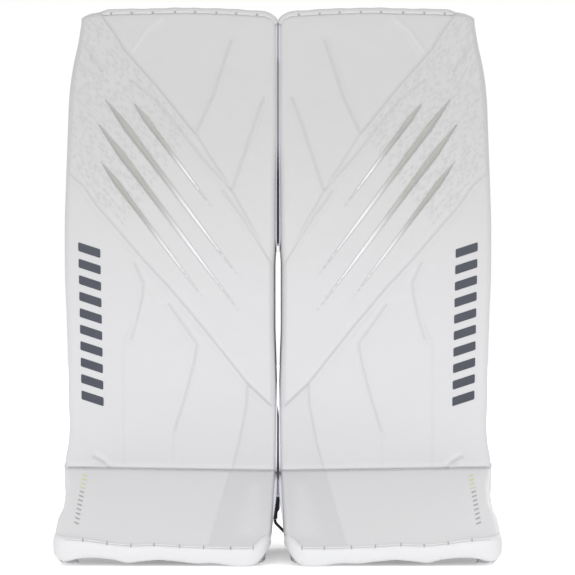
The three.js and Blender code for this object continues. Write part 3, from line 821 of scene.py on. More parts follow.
def make_cover():
    (xs, ys, zs, *masks), ends = cover_grid()
    names = ("seam", "dimple", "boot", "panel")
    rows, cols = xs.shape
    walls = 9
    points = [np.stack([xs, ys, zs], -1).reshape(-1, 3)]
    values = {name: [mask.ravel()] for name, mask in zip(names, masks)}
    index = numbered(rows, cols)
    faces = [quads(index)]
    base = rows * cols
    for edge, sign in ((0, -1), (cols - 1, 1)):
        strip = np.empty((rows, walls, 3))
        below = step(0, 14, zs[0, edge] - zs[:, edge])
        back = np.array([end[0 if sign < 0 else 1] for end in ends])
        for k in range(walls):
            t = (k + 1) / walls
            bulge = 1.1 * math.sin(math.pi * t) * below
            if sign > 0:
                bulge = np.minimum(bulge, np.maximum(0.1, 141.9 - xs[:, edge]))
            tuck = 1.5 * below if k == walls - 1 else 0
            strip[:, k, 0] = xs[:, edge] + sign * (bulge - tuck)
            strip[:, k, 1] = ys[:, edge] + (back[:, 0] - ys[:, edge]) * t
            strip[:, k, 2] = zs[:, edge] + (back[:, 1] - zs[:, edge]) * t
        grid = np.concatenate([index[:, edge : edge + 1], numbered(rows, walls, first=base)], 1)
        faces.append(quads(grid.T) if sign < 0 else quads(grid.T)[:, ::-1])
        points.append(strip.reshape(-1, 3))
        for name, mask in zip(names, masks):
            keep = mask[:, edge] if name == "boot" else np.zeros(rows)
            values[name].append(np.repeat(keep[:, None], walls, 1).ravel())
        base += rows * walls
    # The wall over the top edge.
    strip = np.empty((walls + 1, cols, 3))
    inside = step(0, 14, np.minimum(xs[0] - xs[0, 0], xs[0, -1] - xs[0]))
    for k in range(walls + 1):
        t = min(1, (k + 1) / walls)
        strip[k, :, 0] = xs[0]
        strip[k, :, 1] = ys[0] + (interp(BACK, zs[0]) - ys[0]) * t
        arched = zs[0] + 2.0 * math.sin(math.pi * t) * inside
        # Its last row drops behind the back panel.
        strip[k, :, 2] = arched if k < walls else np.minimum(zs[0] - 3, 695)
    faces.append(quads(np.concatenate([index[:1], numbered(walls + 1, cols, first=base)], 0).T))
    points.append(strip.reshape(-1, 3))
    points = np.concatenate(points)
    mesh = mesh_of("left_face_cover", points, np.concatenate(faces))
    sides, heights = points[:, 0], points[:, 2]
    # Painted shade: the upper mask darkens the face towards its top.
    attribute(mesh, "upper", step(*TOP_SHADE_HEIGHTS, heights))
    # Painted highlight: the light mask, a lighter streak along the arc seam.
    attribute(mesh, "light", 0.4 * np.exp(-((path_distance(sides, heights, ARC_SEAM) / 4.5) ** 2)))
    for name in names:
        attribute(mesh, name, np.concatenate(values[name] + [np.zeros((walls + 1) * cols)]))
    both(
        "face_cover", mesh, "face", None, ["shin_cover", "boot_cover"],
        blend=("shin", "boot", (0, 0, 126), (0, 0, 98)),
    )


def rail_strip(upper, lower, sunk_by=1.5, stations=44, across=7):
    """A strip between two rails, sunk into its groove, and each point's share along and across it."""
    shares = np.linspace(0, 1, stations)
    a, b = along_rail(upper, shares), along_rail(lower, shares)
    points, weights = [], []
    for t, p, q in zip(shares, a, b):
        gap = q - p
        wide = max(1e-3, float(np.hypot(*gap)))
        # Its edges run on a little under the groove's lip.
        p = p - gap / wide * 0.9
        q = q + gap / wide * 0.9
        for k in range(across):
            u = k / (across - 1)
            x, z = p + (q - p) * u
            sunk = sunk_by - 0.4 * math.sin(math.pi * u)
            base = float(shin_base(np.array([x]), np.array([z]))[0][0])
            points.append((x, float(interp(FRONT, z)) - base + sunk, z))
            weights.append((t, u))
    index = numbered(stations, across)
    faces = quads(index).tolist()
    # A skirt drops from the rim into the groove.
    rim = np.concatenate([index[:, 0], index[-1, 1:], index[-2::-1, -1], index[0, -2:0:-1]]).tolist()
    base = len(points)
    for i in rim:
        points.append((points[i][0], points[i][1] + 4.5, points[i][2]))
        weights.append(weights[i])
    n = len(rim)
    faces += [[rim[i], rim[(i + 1) % n], base + (i + 1) % n, base + i] for i in range(n)]
    return points, faces, np.array(weights)


def make_stripes():
    parts, grey, green, painted_highlight = [], [], [], []
    for stripe in STRIPES:
        points, faces, weights = rail_strip(*stripe_rails(*stripe))
        parts.append((points, faces))
        t, u = weights[:, 0], weights[:, 1]
        start = 1 - step(0.3, 0.62, t)
        grey.append(start)
        green.append(0.3 * start * (1 - u))
        # Painted highlight towards each stripe's end.
        painted_highlight.append(0.8 * step(0.42, 0.66, t) * (1 - 0.3 * t))
    mesh = mesh_of("stripe_film", *join(parts))
    for name, values in (("grey", grey), ("green", green), ("painted_highlight", painted_highlight)):
        attribute(mesh, name, np.clip(np.concatenate(values), 0, 1))
    # Painted shade: the film darker towards the top, as the face.
    attribute(mesh, "upper", step(*TOP_SHADE_HEIGHTS, np.array([v.co.z for v in mesh.vertices]) / MM))
    smooth_by_angle(mesh, 40)
    for obj in both("stripe_film", mesh, "film", "shin"):
        smooth_by_angle(obj.data, 40)


def bar(x0, x1, z, height, slant, y, thick=0.5, round_to=1.6):
    """A slanted bar with rounded corners, standing a little proud of the face."""
    corners = [(x0, z), (x0, z - height), (x1, z - height - slant), (x1, z - slant)]
    outline = []
    for i, p in enumerate(corners):
        p = Vector(p)
        a = (Vector(corners[i - 1]) - p).normalized() * round_to + p
        b = (Vector(corners[(i + 1) % 4]) - p).normalized() * round_to + p
        for t in (0, 0.5, 1):
            outline.append(a * (1 - t) ** 2 + p * 2 * t * (1 - t) + b * t * t)
    n = len(outline)
    points = [(q.x, y(q.x, q.y) + back, q.y) for back in (-thick, 1) for q in outline]
    faces = [list(range(n))] + [[i, n + i, n + (i + 1) % n, (i + 1) % n] for i in range(n)]
    return points, faces


def make_graphics():
    def face_y(x, z):
        relief = shin_relief(np.array([float(x)]), np.array([float(z)]))[0][0]
        return float(interp(FRONT, z)) - float(relief)

    bars = []
    for k in range(10):
        z = 409 - k * 21.6
        lean = 0.022 * (409 - z)
        bars.append(bar(-119.5 + lean, -90.5 + lean, z, 11.5, 9.5, face_y, 0.35))
    both("shin_graphic", bars, "graphic", "shin", smooth=False)

    marks = {"grey_mark": [], "lime_mark": []}
    for k in range(12):
        v = 0.085 + k * 0.062
        kind = "lime_mark" if k < 4 else "grey_mark"
        x = -109 - 4.5 * v
        quad = []  # a small slanted mark, standing just off the boot's face
        reach = 3.4 if k < 4 else 3.0
        for dx, dv in ((-reach, 0), (-reach, 0.02), (reach, 0.042), (reach, 0.022)):
            vv = v + dv
            xx = x + dx
            c = float(crease_z(xx))
            tz = float(interp(TOE_LINE, xx))
            ty = toe_y(tz)
            proud = float(boot_relief(np.array([xx]), np.array([vv]))[0][0]) + 0.25
            y, z = CREASE_Y + (ty - CREASE_Y) * vv, c + (tz - c) * vv
            quad.append((xx, y - 0.489 * proud, z + 0.872 * proud))
        marks[kind].append((quad, [[0, 1, 2, 3]]))
    for kind, parts in marks.items():
        both(f"boot_{kind}", mesh_of(kind, *join(parts)), kind, "boot", smooth=False)


# ---- The laced edges -----------------------------------------------------------------------------
def top_contour():
    """Points along the top edge, with the outward direction at each, in x and z."""
    pts = [(x, float(interp(TOP_EDGE, x))) for x in np.linspace(-97, 141.6, 150)]
    return [(x, z, -dz, dx) for x, z, dx, dz in headings(pts)]


def along_top(x, inset, y):
    """A point inset mm inside the top edge at x."""
    z = float(interp(TOP_EDGE, x))
    slope = (float(interp(TOP_EDGE, x + 1)) - float(interp(TOP_EDGE, x - 1))) / 2
    length = math.hypot(1, slope)
    return (x + slope / length * inset, y, z - inset / length)


def make_top_binding():
    """A soft strip folded over the top edge, with a flat lace run along its front."""
    section = [
        (-5.4, 0.9), (-4.5, -0.1), (-3.2, -0.9), (-0.6, -1.5), (1.8, -0.9), (3.0, 1.6), (3.4, 6), (3.8, 18),
        (3.2, 33), (1.6, 38), (-2.2, 39.6), (-6.5, 39.2), (-11.5, 38.6),
    ]  # outward from the top edge, and back from the face
    points = []
    contour = top_contour()
    for x, z, nx, nz in contour:
        wave = 0.25 * math.sin(x / 4.4) + 0.2 * math.sin(x / 11 + 1)
        size = 0.02 + 0.98 * float(step(-98, -80, x))
        for out, y in section:
            reach = (out + (wave if out > 0 else 0)) * (size if out > 0 or y < 4 else 1) - (1 - size) * 0.4
            reach = min(reach, (142.2 - x) / max(nx, 1e-3)) if nx > 0.2 else reach
            inset = max(0.0, EDGE_R + min(reach, 0))
            hug = (1 - size) * (EDGE_R + 0.4 - math.sqrt(max(0.0, EDGE_R ** 2 - inset ** 2))) if y < 2 else 0
            points.append((x + nx * reach, -35 + hug + (y if y > 0 else y * size), z + nz * reach))
    faces = quads(numbered(len(contour), len(section)))
    both("top_edge_binding", (points, faces), "binding", "shin", ["top_binding"])
    runs, ties = [], []
    marks = [-88, -76, -49, -21.5, 7.5, 34, 62, 88, 115.5, 136]
    for a, b in zip(marks, marks[1:]):
        path = []
        for t in np.linspace(0, 1, 12):
            x = a + 1.0 + (b - a - 2.0) * t
            path.append(along_top(x, 2.7 + 0.2 * math.sin(9 * t), -35.7 - 0.5 * math.sin(math.pi * t) ** 0.4))
        runs.append(tube(path, 1.5, 8, flat=(1, 0.4)))
    for x in marks[1:-1]:
        over = [along_top(x, inset, y) for inset, y in ((4.6, -35.5), (3.0, -36.6), (1.2, -36.5))]
        ties.append(tube(over, 0.55, 6))
    both("top_lace", runs, "lace", "shin")
    both("top_lace_ties", ties, "tie", "shin")


def toe_path():
    """Points round the toe in plan, with the outward direction at each: outer side, front, inner side."""
    plan = [(-138.6, -146), (-139.2, -156), (-138.8, -166), (-136, -174.5), (-130, -180), (-122, -182.2)]
    plan += [(x, -182.6) for x in np.linspace(-112, 100, 44)]
    plan += [(108, -182.3), (116, -180.4), (122.5, -176), (127.5, -169), (131, -159), (133.2, -147)]
    return [(x, y, dy, -dx) for x, y, dx, dy in headings(plan)]


def rim_front(x):
    """How far out the rim's front is at x, in y."""
    plan = [(px, py) for px, py, _, _ in toe_path() if py < -172]
    return float(np.interp(x, [q[0] for q in plan], [q[1] for q in plan]))


def make_toe_rim():
    """The rim rolls over the toe edge and hangs in soft waves."""
    points = []
    path = toe_path()
    for x, y, nx, ny in path:
        side = float(step(-181, -150, y)) if abs(x) > 112 else 0.0
        top = float(interp(TOE_LINE, x)) + 1.5 + 1.5 * side
        low = float(interp(RIM_BOTTOM, x)) + 3.0 * side - 0.8
        wave = 0.9 * math.sin(x / 9.5) + 0.6 * math.sin(x / 4.1 + 1)
        lie = 1 - 0.75 * side
        middle = (top + low) / 2
        section = [
            (-7.5 * lie - 2, top + 3.4 * lie - 2.5),
            (-4.2 * lie - 1, top + 2.2 * lie - 0.4),
            (-1.0, top - 0.3),
            (0.9, top - 3.2),
            (2.0 + 0.3 * wave, middle + 3),
            (2.1 + 0.4 * wave, middle - 3),
            (1.5 + 0.3 * wave, low + 2.6),
            (-0.6, low + 0.3),
            (-4.5, low),
            (-13, low + 1.4),
            (-21, low + 4.5),
            (-23, min(top - 3, low + 11)),
        ]
        for out, z in section:
            points.append((x + nx * out, y + ny * out, max(z, 0.1)))
    index = numbered(len(path), len(section))
    faces = quads(index.T).tolist() + [index[0, ::-1].tolist(), index[-1].tolist()]
    obj = scratch(mesh_of("rim", points, faces))
    sub = obj.modifiers.new("sub", "SUBSURF")
    sub.levels = 2
    both("toe_rim_roll", baked(obj), "rim", "boot", ["toe_rim"])
    runs, ties = [], []
    marks = [-125, -101, -71, -41, -12, 20, 50, 84, 112]
    for a, b in zip(marks, marks[1:]):
        run = []
        for t in np.linspace(0, 1, 12):
            x = a + 0.9 + (b - a - 1.8) * t
            rise = 0.35 * math.sin(math.pi * t) ** 0.4
            run.append((x, rim_front(x) + 0.75 - rise, float(interp(TOE_LINE, x)) + 0.9 + rise))
        runs.append(tube(run, 1.5, 8, flat=(0.45, 1.0)))
    for x in marks[1:]:
        top = float(interp(TOE_LINE, x))
        y = rim_front(x)
        over = [(x, y + 2.2, top + 3.4), (x, y + 0.4, top + 1.6), (x, y - 0.5, top - 1.4)]
        ties.append(tube(over, 0.55, 6))
    both("toe_lace", runs, "thread", "boot")
    both("toe_lace_ties", ties, "tie", "boot")


# ---- Padded pieces -------------------------------------------------------------------------------
def sharp_loops(mesh, degrees=50):
    """Runs of sharp edges, as (points, closed) pairs: where the piping of a block goes."""
    bm = bmesh.new()
    bm.from_mesh(mesh)
    sharp = {e for e in bm.edges if len(e.link_faces) == 2 and e.calc_face_angle(0) > math.radians(degrees)}
    runs = []

    def onward(run):
        heading = (run[-1].co - run[-2].co).normalized()
        options = []
        for e in run[-1].link_edges:
            if e in sharp:
                turn = heading.angle((e.other_vert(run[-1]).co - run[-1].co).normalized(), 9)
                options.append((turn, e.index, e))
        return min(options)[2] if options and min(options)[0] < math.radians(80) else None

    for first in sorted(sharp, key=lambda e: e.index):
        if first not in sharp:
            continue
        sharp.discard(first)
        run = [first.verts[0], first.verts[1]]
        for _ in (0, 1):
            while run[0] != run[-1]:
                following = onward(run)
                if following is None:
                    break
                sharp.discard(following)
                run.append(following.other_vert(run[-1]))
            run.reverse()
        length = sum((b.co - a.co).length for a, b in zip(run, run[1:]))
        if length > 0.06:
            closed = run[0] == run[-1]
            runs.append(([v.co.copy() for v in (run[:-1] if closed else run)], closed))
    bm.free()
    return runs


SLACK = 0.15 * MM  # kept between a stuffed piece and its CAD box


def stuffed(node, inset=2.5, cap=4.0, voxel=0.005, pressure=4.0, pin=4.5, frames=14, fit=None, shape=None):
    """A CAD block as a stuffed piece: its sides swell between its seams, by cloth simulation.

    It ends up inside fit, the (low, high) corners in the row frame. shape moves points after that.
    """
    source = cad_mesh(node)
    runs = sharp_loops(source)
    loops = [np.array([list(p) for p in rounded_loop(*run)]) for run in runs]
    low, high = (np.array(c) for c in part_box(node))
    centre, size = (low + high) / 2, high - low
    scale = 1 - 2 * inset * MM / size
    co = np.array([v.co for v in source.vertices])
    for v, c in zip(source.vertices, (co - centre) * scale + centre):
        v.co = c
    loops = [(loop - centre) * scale + centre for loop in loops]
    obj = scratch(source)
    remesh = obj.modifiers.new("remesh", "REMESH")
    remesh.mode = "VOXEL"
    remesh.voxel_size = voxel
    body = scratch(baked(obj))
    start = np.array([v.co for v in body.data.vertices])
    near = np.full(len(start), 1.0)
    ring = np.concatenate(loops) if loops else np.zeros((0, 3))
    for k in range(0, len(ring), 64):
        near = np.minimum(near, np.linalg.norm(start[:, None] - ring[None, k : k + 64], axis=2).min(1))
    end = start.copy()
    group = body.vertex_groups.new(name="pin")
    for i, d in enumerate(near):
        if d < pin * MM:
            group.add([i], 1.0, "REPLACE")
    cloth = body.modifiers.new("cloth", "CLOTH")
    cloth.settings.quality = 4
    cloth.settings.use_pressure = True
    cloth.settings.uniform_pressure_force = pressure
    cloth.settings.effector_weights.gravity = 0
    cloth.settings.tension_stiffness = 8
    cloth.settings.compression_stiffness = 8
    cloth.settings.vertex_group_mass = "pin"
    cloth.point_cache.frame_start = 1
    cloth.point_cache.frame_end = frames
    for number in range(1, frames + 1):
        bpy.context.scene.frame_set(number)
    graph = bpy.context.evaluated_depsgraph_get()
    end = np.array([v.co for v in body.evaluated_get(graph).data.vertices])
    bpy.context.scene.frame_set(1)
    moved = end - start
    far = np.linalg.norm(moved, axis=1, keepdims=True)
    moved = moved * np.minimum(1, cap * MM / np.maximum(far, 1e-9))
    body.modifiers.clear()
    for v, c in zip(body.data.vertices, start + moved):
        v.co = c
    body.vertex_groups.clear()
    smooth = body.modifiers.new("smooth", "SMOOTH")
    smooth.factor = 0.5
    smooth.iterations = 3
    sub = body.modifiers.new("sub", "SUBSURF")
    sub.levels = 1
    mesh = baked(body)
    co = np.empty(len(mesh.vertices) * 3)
    mesh.vertices.foreach_get("co", co)
    co = co.reshape(-1, 3)
    fit_low, fit_high = fit or (low + SLACK, high - SLACK)
    now_low, now_high = co.min(0), co.max(0)

    def placed(points):
        points = (points - now_low) / (now_high - now_low) * (np.array(fit_high) - fit_low) + fit_low
        return shape(points) if shape else points

    mesh.vertices.foreach_set("co", placed(co).ravel())
    mesh.update()
    edge = 0.6 * MM
    rings = [placed(np.clip(loop, now_low + edge, now_high - edge)) for loop in loops]
    return mesh, [(ring, closed) for ring, (_, closed) in zip(rings, runs)]


def dense(loop, spacing, closed=True):
    """Points along a loop, evenly spaced."""
    pts = list(loop) + ([loop[0]] if closed else [])
    out = []
    for a, b in zip(pts, pts[1:]):
        n = max(1, int((b - a).length / spacing))
        out += [a.lerp(b, k / n) for k in range(n)]
    return out if closed else out + [pts[-1]]


def rounded_loop(loop, closed=True, passes=3):
    """Evens out a run's corners."""
    pts = np.array([list(p) for p in dense(loop, 0.004, closed)])
    for _ in range(passes):
        if closed:
            pts = (np.roll(pts, 1, 0) + pts * 2 + np.roll(pts, -1, 0)) / 4
        else:
            pts[1:-1] = (pts[:-2] + pts[1:-1] * 2 + pts[2:]) / 4
    return pts


def piping_of(loops, radius=1.5):
    parts = []
    for loop, closed in loops:
        path = list(loop / MM + (PAD_CENTRE, -SHIFT_Y, 0))
        parts.append(tube(path, radius, 8, closed=closed, taper=not closed))
    return join(parts)


WALL_LIMIT = [(0, 126), (30, 130.6), (50, 133.4), (62, 135.6), (75, 138.4), (86, 141), (95, 141.8)]


def pinched(side):
    """A boot wall's lower front corner, drawn in towards the pad's middle."""
    def shape(points):
        moved = points.copy()
        front = step(-0.075, -0.135, points[:, 1])
        low = step(0.062, 0.008, points[:, 2])
        moved[:, 0] += side * 0.0095 * front * low
        if side < 0:
            # The inner wall keeps behind the cover's edge lower down.
            limit = interp(WALL_LIMIT, points[:, 2] / MM) * MM - PAD_CENTRE * MM
            over = np.maximum(0, moved[:, 0] - (limit - 0.004))
            moved[:, 0] -= over - 0.004 * (1 - np.exp(-over / 0.004))
        return moved
    return shape


def flat_inside(points):
    """A block's inner face, pressed flatter against its twin on the other pad."""
    moved = points.copy()
    reach = points[:, 0].max()
    d = (reach - points[:, 0]) / MM
    moved[:, 0] = reach - MM * np.where(d < 12, d * (0.04 + 0.96 * step(3.5, 12.0, d)), d)
    return moved


def eased_top(points):
    """The same, with the upper end of the face leaning away from its twin."""
    moved = flat_inside(points)
    near = step(0.014, 0.002, points[:, 0].max() - points[:, 0])
    moved[:, 0] -= 0.0028 * near * step(0.176, 0.206, points[:, 2])
    return moved


WELT_Y = -22.5  # the welts lie this far forward, beside the cover's edge


def make_blocks():
    middle = -0.00006  # just short of the plane between the pads
    # Node, look, trim, trim radius, inset, cap, how far in it reaches, and what shapes it further.
    plans = (
        ("knee_block_channel_layer", "jacket", "piping", 1.4, 2.2, 2.6, None, None),
        ("knee_block_middle_layer", "jacket", "piping", 1.4, 2.2, 2.6, None, None),
        ("knee_block_landing_layer", "liner", "piping", 1.4, 1.6, 2.6, middle, flat_inside),
        ("calf_block", "jacket", "piping", 1.4, 2.4, 5.0, None, None),
        # The ankle block's piping takes the pale welt look: painted light.
        ("ankle_block", "jacket", "welt", 1.4, 1.6, 3.0, middle, eased_top),
        ("knee_cradle", "liner", "piping", 1.4, 2.2, 6.0, None, None),
        ("shin_cushion", "liner", "piping", 1.4, 2.2, 6.0, None, None),
        ("boot_outer_wall", "jacket", "jacket", 1.1, 1.8, 2.4, None, pinched(1)),
        ("boot_inner_wall", "jacket", "jacket", 1.1, 1.8, 2.4, None, pinched(-1)),
    )
    for node, look, trim, radius, inset, cap, reach, shape in plans:
        low, high = (np.array(c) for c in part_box(f"left_{node}"))
        fit = (low + SLACK, high - SLACK)
        if reach:
            fit = (low + SLACK, (reach, *high[1:]))
        elif node == "boot_inner_wall":
            # Its top keeps clear of the ankle block.
            fit = (low + SLACK, high - (SLACK, SLACK, 2.2 * MM))
        mesh, loops = stuffed(f"left_{node}", inset, cap, fit=fit, shape=shape)
        body = "boot" if node.startswith("boot") else "shin"
        both(f"{node}_pad", mesh, look, body, [node])
        if reach and loops:
            limit = max(float(loop[:, 0].max()) for loop, _ in loops)
            back_off = limit - reach + radius * MM
            for loop, _ in loops:
                loop[loop[:, 0] > limit - 0.004, 0] -= back_off
        both(f"{node}_piping", piping_of(loops, radius), trim, body)
    # Welts fill the gap beside the cover's inner edge, at the knee, the ankle and the boot. The ankle's and the
    # boot's are painted light: a lighter, bluer copy of the leather for the lit gap. The knee's is painted
    # shade: a darker copy.
    for name, low, high, seam in (("knee", 396, 700, 141.2), ("ankle", 106.5, 226, 141.5)):
        welt, halves = [], []
        for z in np.linspace(low, high, 110 if name == "knee" else 60):
            half = (seam - float(interp(INNER_EDGE, z)) + 0.5) / 2
            upper = float(step(485, 545, z))
            thick = float(step(642, 656, z))
            if name == "knee":
                half *= 0.2 + 0.8 * float(step(low - 4, low + 24, z))
                half += (1.15 + 0.35 * thick - half) * upper
            else:
                half *= 0.4 + 0.6 * float(step(high + 6, high - 50, z))
            y = WELT_Y + (float(interp(FRONT, z)) + 4.1 - 1.2 * thick - WELT_Y) * upper
            welt.append((seam + 0.75 * upper + 0.25 * thick - half, y, z))
            halves.append(half)
        # The ankle's welt takes the painted light look, the knee's the painted shade look.
        look = "welt" if name == "ankle" else "shaded_welt"
        both(f"{name}_edge_welt", tube(welt, halves, 12, taper=name == "ankle"), look, "shin")
    seam = [(141.45, -22.4, z) for z in np.linspace(404, 516, 36)]
    both("knee_edge_piping", tube(seam, 0.52, 8), "piping", "shin")
    welt, halves = [], []
    for v in np.linspace(-0.02, 0.62, 50):
        edge = float(interp(BOOT_INNER, max(v, 0))) - 0.5
        half = min(2.5, (141.75 - edge) / 2) * (1 - 0.45 * float(step(0.2, 0.62, v)))
        welt.append((edge + half, -15 - 148 * v, 103 - 82 * v))
        halves.append(half)
    both("boot_edge_welt", tube(welt, halves, 12, taper=True), "welt", "boot")


def make_cores():
    """The foams and the stiffener inside, and the liner under the boot."""
    for node, look, body, inset in (
        ("face_foam", "foam", "shin", 3.4), ("rear_foam", "foam", "shin", 2.6),
        ("shin_stiffener", "plate", "shin", 0.5), ("boot_foam", "foam", "boot", 3.2),
        ("boot_liner", "liner", "boot", 0.2),
    ):
        mesh = softened(f"left_{node}", 2.0 if inset > 1 else 0.6)
        inward = [v.co - v.normal * inset * MM for v in mesh.vertices]
        for v, place in zip(mesh.vertices, inward):
            v.co = place
            if node == "boot_foam":
                v.co.y += 0.012 * float(step(-0.06, -0.165, place.y))
        smooth_by_angle(mesh)
        both(f"{node}_core", mesh, look, body, [node])


def make_back():
    """The pad's back: navy nylon, quilted over the thigh, with tape bound round its edge."""
    rows = np.linspace(121.6, 699.0, int(578 / (STEP * 1.6)))
    share = np.linspace(0, 1, int(276 / (STEP * 1.3)))
    grid = []
    for z in rows:
        left = float(interp(OUTER_EDGE, z)) + 0.5
        right = float(interp(INNER_EDGE, z)) - 0.5
        x = left + (right - left) * share
        y = float(interp(BACK, z)) + 2.3 + 0.12 * ripple(x, np.full(x.shape, z), 60, 1.5)
        inset = np.minimum(np.minimum(x - left, right - x), min(z - rows[0], rows[-1] - z))
        # Thigh quilting: upright channels, tufted where they cross two seams.
        open_x = step(left + 9, left + 16, x) * step(right - 9, right - 16, x)
        open_z = step(593, 603, z) * step(692, 682, z)
        channel = np.abs(np.sin((x - left - 8) / ((right - left - 16) / 7) * math.pi)) ** 0.55
        seam = 1 - 0.75 * np.exp(-(((z - 636) / 3.2) ** 2))
        y = y + 3.6 * open_x * open_z * channel * seam
        y = y - 0.7 * np.exp(-(((z - 590) / 1.2) ** 2)) - 1.4 * step(2.4, 0.0, inset)
        grid.append(np.stack([x, y, np.full(x.shape, z)], -1))
    grid = np.array(grid)
    r, c = grid.shape[:2]
    quilt = grid.reshape(-1, 3), quads(numbered(r, c).T)[:, ::-1]
    both("back_panel_quilt", quilt, "liner", "shin", ["back_panel"])
    edge = [grid[k, 0] for k in range(0, r, 3)] + [grid[-1, k] for k in range(0, c, 4)]
    edge += [grid[k, -1] for k in range(r - 1, 0, -3)] + [grid[0, k] for k in range(c - 1, 0, -4)]
    tape = tube([tuple(p) for p in edge], 2.1, 10, closed=True, flat=(1.0, 0.75))
    both("back_panel_tape", tape, "piping", "shin")
    seam = []
    for z in (590, rows[0] + 22):
        y = float(interp(BACK, z)) + 2.4
        seam += dashes([(x, y, z + 3) for x in np.linspace(-124, 132, 60)], 0.45)
    both("back_panel_stitching", seam, "dark_thread", "shin")


def make_ankle_wrap():
    """Navy cloth round the back of the ankle, in soft ribs, and on under the boot."""
    profile = []
    for angle in np.radians(np.linspace(80, -62, 60)):
        radius = ANKLE_R + 0.2 + 0.55 * abs(math.sin(angle * 7.5))
        profile.append((ANKLE[0] + radius * math.cos(angle), ANKLE[1] + radius * math.sin(angle)))
    xs = np.linspace(-136.5, 134.8, 90)
    points = []
    for x in xs:
        # It draws in a little towards its two ends.
        draw = 0.06 * max(0, abs(x) - 130) / 8
        for y, z in profile:
            ease = 0.15 * math.sin(x / 13 + z / 7)
            points.append((x, y - (y - ANKLE[0]) * draw + ease, z - (z - ANKLE[1]) * draw))
    faces = quads(numbered(len(xs), len(profile)).T)[:, ::-1]
    both("ankle_wrap", (points, faces), "liner", "boot")


def dashes(path, radius, dash=3.2, gap=1.8):
    """Stitches along a path, as short tapered tubes."""
    pts = [Vector(p) for p in path]
    run = [0.0]
    for a, b in zip(pts, pts[1:]):
        run.append(run[-1] + (b - a).length)
    run = np.array(run)
    co = np.array([list(p) for p in pts])

    def at(d):
        return tuple(np.interp(d, run, co[:, k]) for k in range(3))

    out, d = [], 0.0
    while d + dash < run[-1]:
        out.append(tube([at(d + dash * share) for share in (0, 0.3, 0.7, 1)], radius, 5, taper=True))
        d += dash + gap
    return out


def make_wings():
    for node in ("knee_wing", "calf_wing"):
        mesh, loops = stuffed(f"left_{node}", 1.2, 1.4, voxel=0.004, pin=2.5)
        both(f"{node}_pad", mesh, "jacket", node, [node])
        both(f"{node}_piping", piping_of(loops, 1.2), "piping", node)
    plate = softened("left_calf_wing_plate", 0.7)
    smooth_by_angle(plate)
    both("calf_wing_guard", plate, "plastic", "calf_wing", ["calf_wing_plate"])
    run = ((-119.3, 58), (-119.9, 72), (-119.2, 92), (-118.0, 108))
    ribs = [tube([(*at, z) for at in run], 0.6, 6, taper=True) for z in (236, 243, 250, 257, 264)]
    both("calf_wing_guard_ribs", ribs, "plastic", "calf_wing")


# ---- Straps, tabs and small parts ----------------------------------------------------------------
# Each strap's run in plan, how thick it is, its lower and upper edge, and its look.
STRAPS = {
    "knee_strap": (
        [(-116.5, 107), (-109, 124), (-93, 139), (-66, 147), (20, 152.2), (132, 151.6)],
        2.5, 470, 520, "strap"),
    "calf_strap": (
        [(-116, 118), (-107, 134), (-88, 147), (-56, 148), (36, 133), (64, 126.6), (127, 126.6)],
        2.5, 282, 322, "strap"),
    "boot_strap": (
        [(-128, 26.1), (-128, 54), (-118, 84), (-88, 103), (-50, 108), (50, 108), (98, 96.6), (137, 96.6)],
        2.0, 158, 183, "webbing"),
}


def strap_run(plan):
    """The strap's run in plan, evenly cut, with the outward direction at each point."""
    pts = []
    for a, b in zip(plan, plan[1:]):
        n = max(2, int(math.hypot(b[0] - a[0], b[1] - a[1]) / 2.5))
        pts += [(a[0] + (b[0] - a[0]) * k / n, a[1] + (b[1] - a[1]) * k / n) for k in range(n)]
    pts = np.array(pts + [plan[-1]], float)
    for _ in range(10):
        pts[1:-1] = (pts[:-2] + pts[1:-1] * 2 + pts[2:]) / 4
    run = np.gradient(pts, axis=0)
    run /= np.linalg.norm(run, axis=1, keepdims=True)
    return pts, np.stack([-run[:, 1], run[:, 0]], -1)


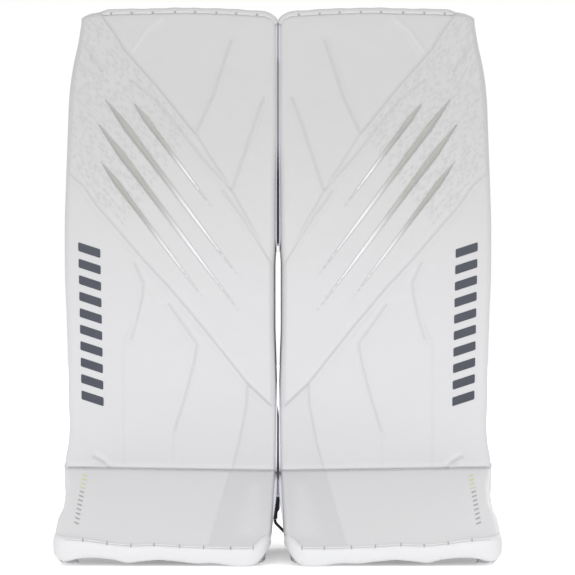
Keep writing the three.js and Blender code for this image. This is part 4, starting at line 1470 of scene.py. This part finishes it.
def make_straps():
    for node, (plan, thick, low, high, look) in STRAPS.items():
        pts, out = strap_run(plan)
        n = len(pts)
        middle, half = (low + high) / 2, (high - low) / 2
        section = []
        for turn in np.linspace(0, 2 * math.pi, 28, endpoint=False):
            c, d = math.cos(turn), math.sin(turn)
            section.append((math.copysign(abs(c) ** 0.12, c) * half, math.copysign(abs(d) ** 0.5, d) * 0.5))
        points = []
        for i, (p, o) in enumerate(zip(pts, out)):
            free = max(0.0, 1 - (n - 1 - i) / 4)
            for across, through in section:
                rise = (0.5 + through) * thick * (1 - 0.3 * free)
                cup = 0.25 * (across / half) ** 2 * math.sin(i / 9)
                place = p + o * (rise + cup)
                points.append((*place, middle + across * (1 - 0.06 * free)))
        m = len(section)
        faces = quads(numbered(n, m, ring=True).T).tolist()
        faces += [list(range(m))[::-1], list(range((n - 1) * m, n * m))]
        both(f"{node}_band", (points, faces), look, node, [node])
        thread = "dark_thread" if look == "strap" else "thread"
        stitch = []
        for z in (low + 3.2, high - 3.2):
            stitch += dashes([(*(p + o * (thick + 0.05)), z) for p, o in zip(pts, out)], 0.35)
        # A sewn box with a cross holds the fixed end.
        fixed = pts[3:14] + out[3:14] * (thick + 0.1)
        corners = [(0, low + 6), (10, low + 6), (10, high - 6), (0, high - 6), (0, low + 6), (10, high - 6)]
        for (i, za), (j, zb) in zip(corners, corners[1:]):
            line = []
            for t in np.linspace(0, 1, 12):
                x, y = (np.interp(i + (j - i) * t, range(11), fixed[:, axis]) for axis in (0, 1))
                line.append((x, y, za + (zb - za) * t))
            stitch += dashes(line, 0.4, 2.6, 1.2)
        both(f"{node}_stitching", stitch, thread, node)
        if look == "strap":
            end_x, end_y = pts[-1]
            tab = bmesh.new()
            bmesh.ops.create_cube(tab, size=1)
            data = bpy.data.meshes.new("tab")
            tab.to_mesh(data)
            tab.free()
            x0, x1 = end_x - 14, min(end_x + 8, 141)
            centre = np.array(((x0 + x1) / 2, end_y + thick + 0.7, middle))
            for v in data.vertices:
                v.co = to_row(centre + np.array(v.co) * (x1 - x0, 1.1, high - low - 14))[0]
            box = scratch(data)
            bevel = box.modifiers.new("bevel", "BEVEL")
            bevel.width = 0.5 * MM
            bevel.segments = 3
            data = baked(box)
            smooth_by_angle(data)
            both(f"{node}_pull_tab", data, "tab", node)
    for node, body, look, slot in (
        ("boot_strap_keeper", "keeper", "plastic", "plastic"), ("toe_bridge", "toe_bridge", "tab", "tab"),
    ):
        mesh = softened(f"left_{node}", 0.6)
        smooth_by_angle(mesh)
        both(f"{node}_body", mesh, look, body, [node])
    rings = []
    for x in (-24, 24):
        turns = np.linspace(0, 2 * math.pi, 24, endpoint=False)
        circle = [(x + 3.6 * math.cos(t), -132 + 3.6 * math.sin(t), 7.2) for t in turns]
        rings.append(tube(circle, 0.9, 8, closed=True))
    both("toe_bridge_eyelets", rings, "steel", "toe_bridge")
    for node in ("knee_strap_patch", "calf_strap_patch"):
        mesh = softened(f"left_{node}", 0.3, 2)
        smooth_by_angle(mesh)
        both(f"{node}_loop", mesh, "hook", "shin", [node])


set_the_stage()
make_cord()
make_clip()
make_cover()
make_stripes()
make_graphics()
make_top_binding()
make_toe_rim()
make_blocks()
make_wings()
make_straps()
make_cores()
make_back()
make_ankle_wrap()
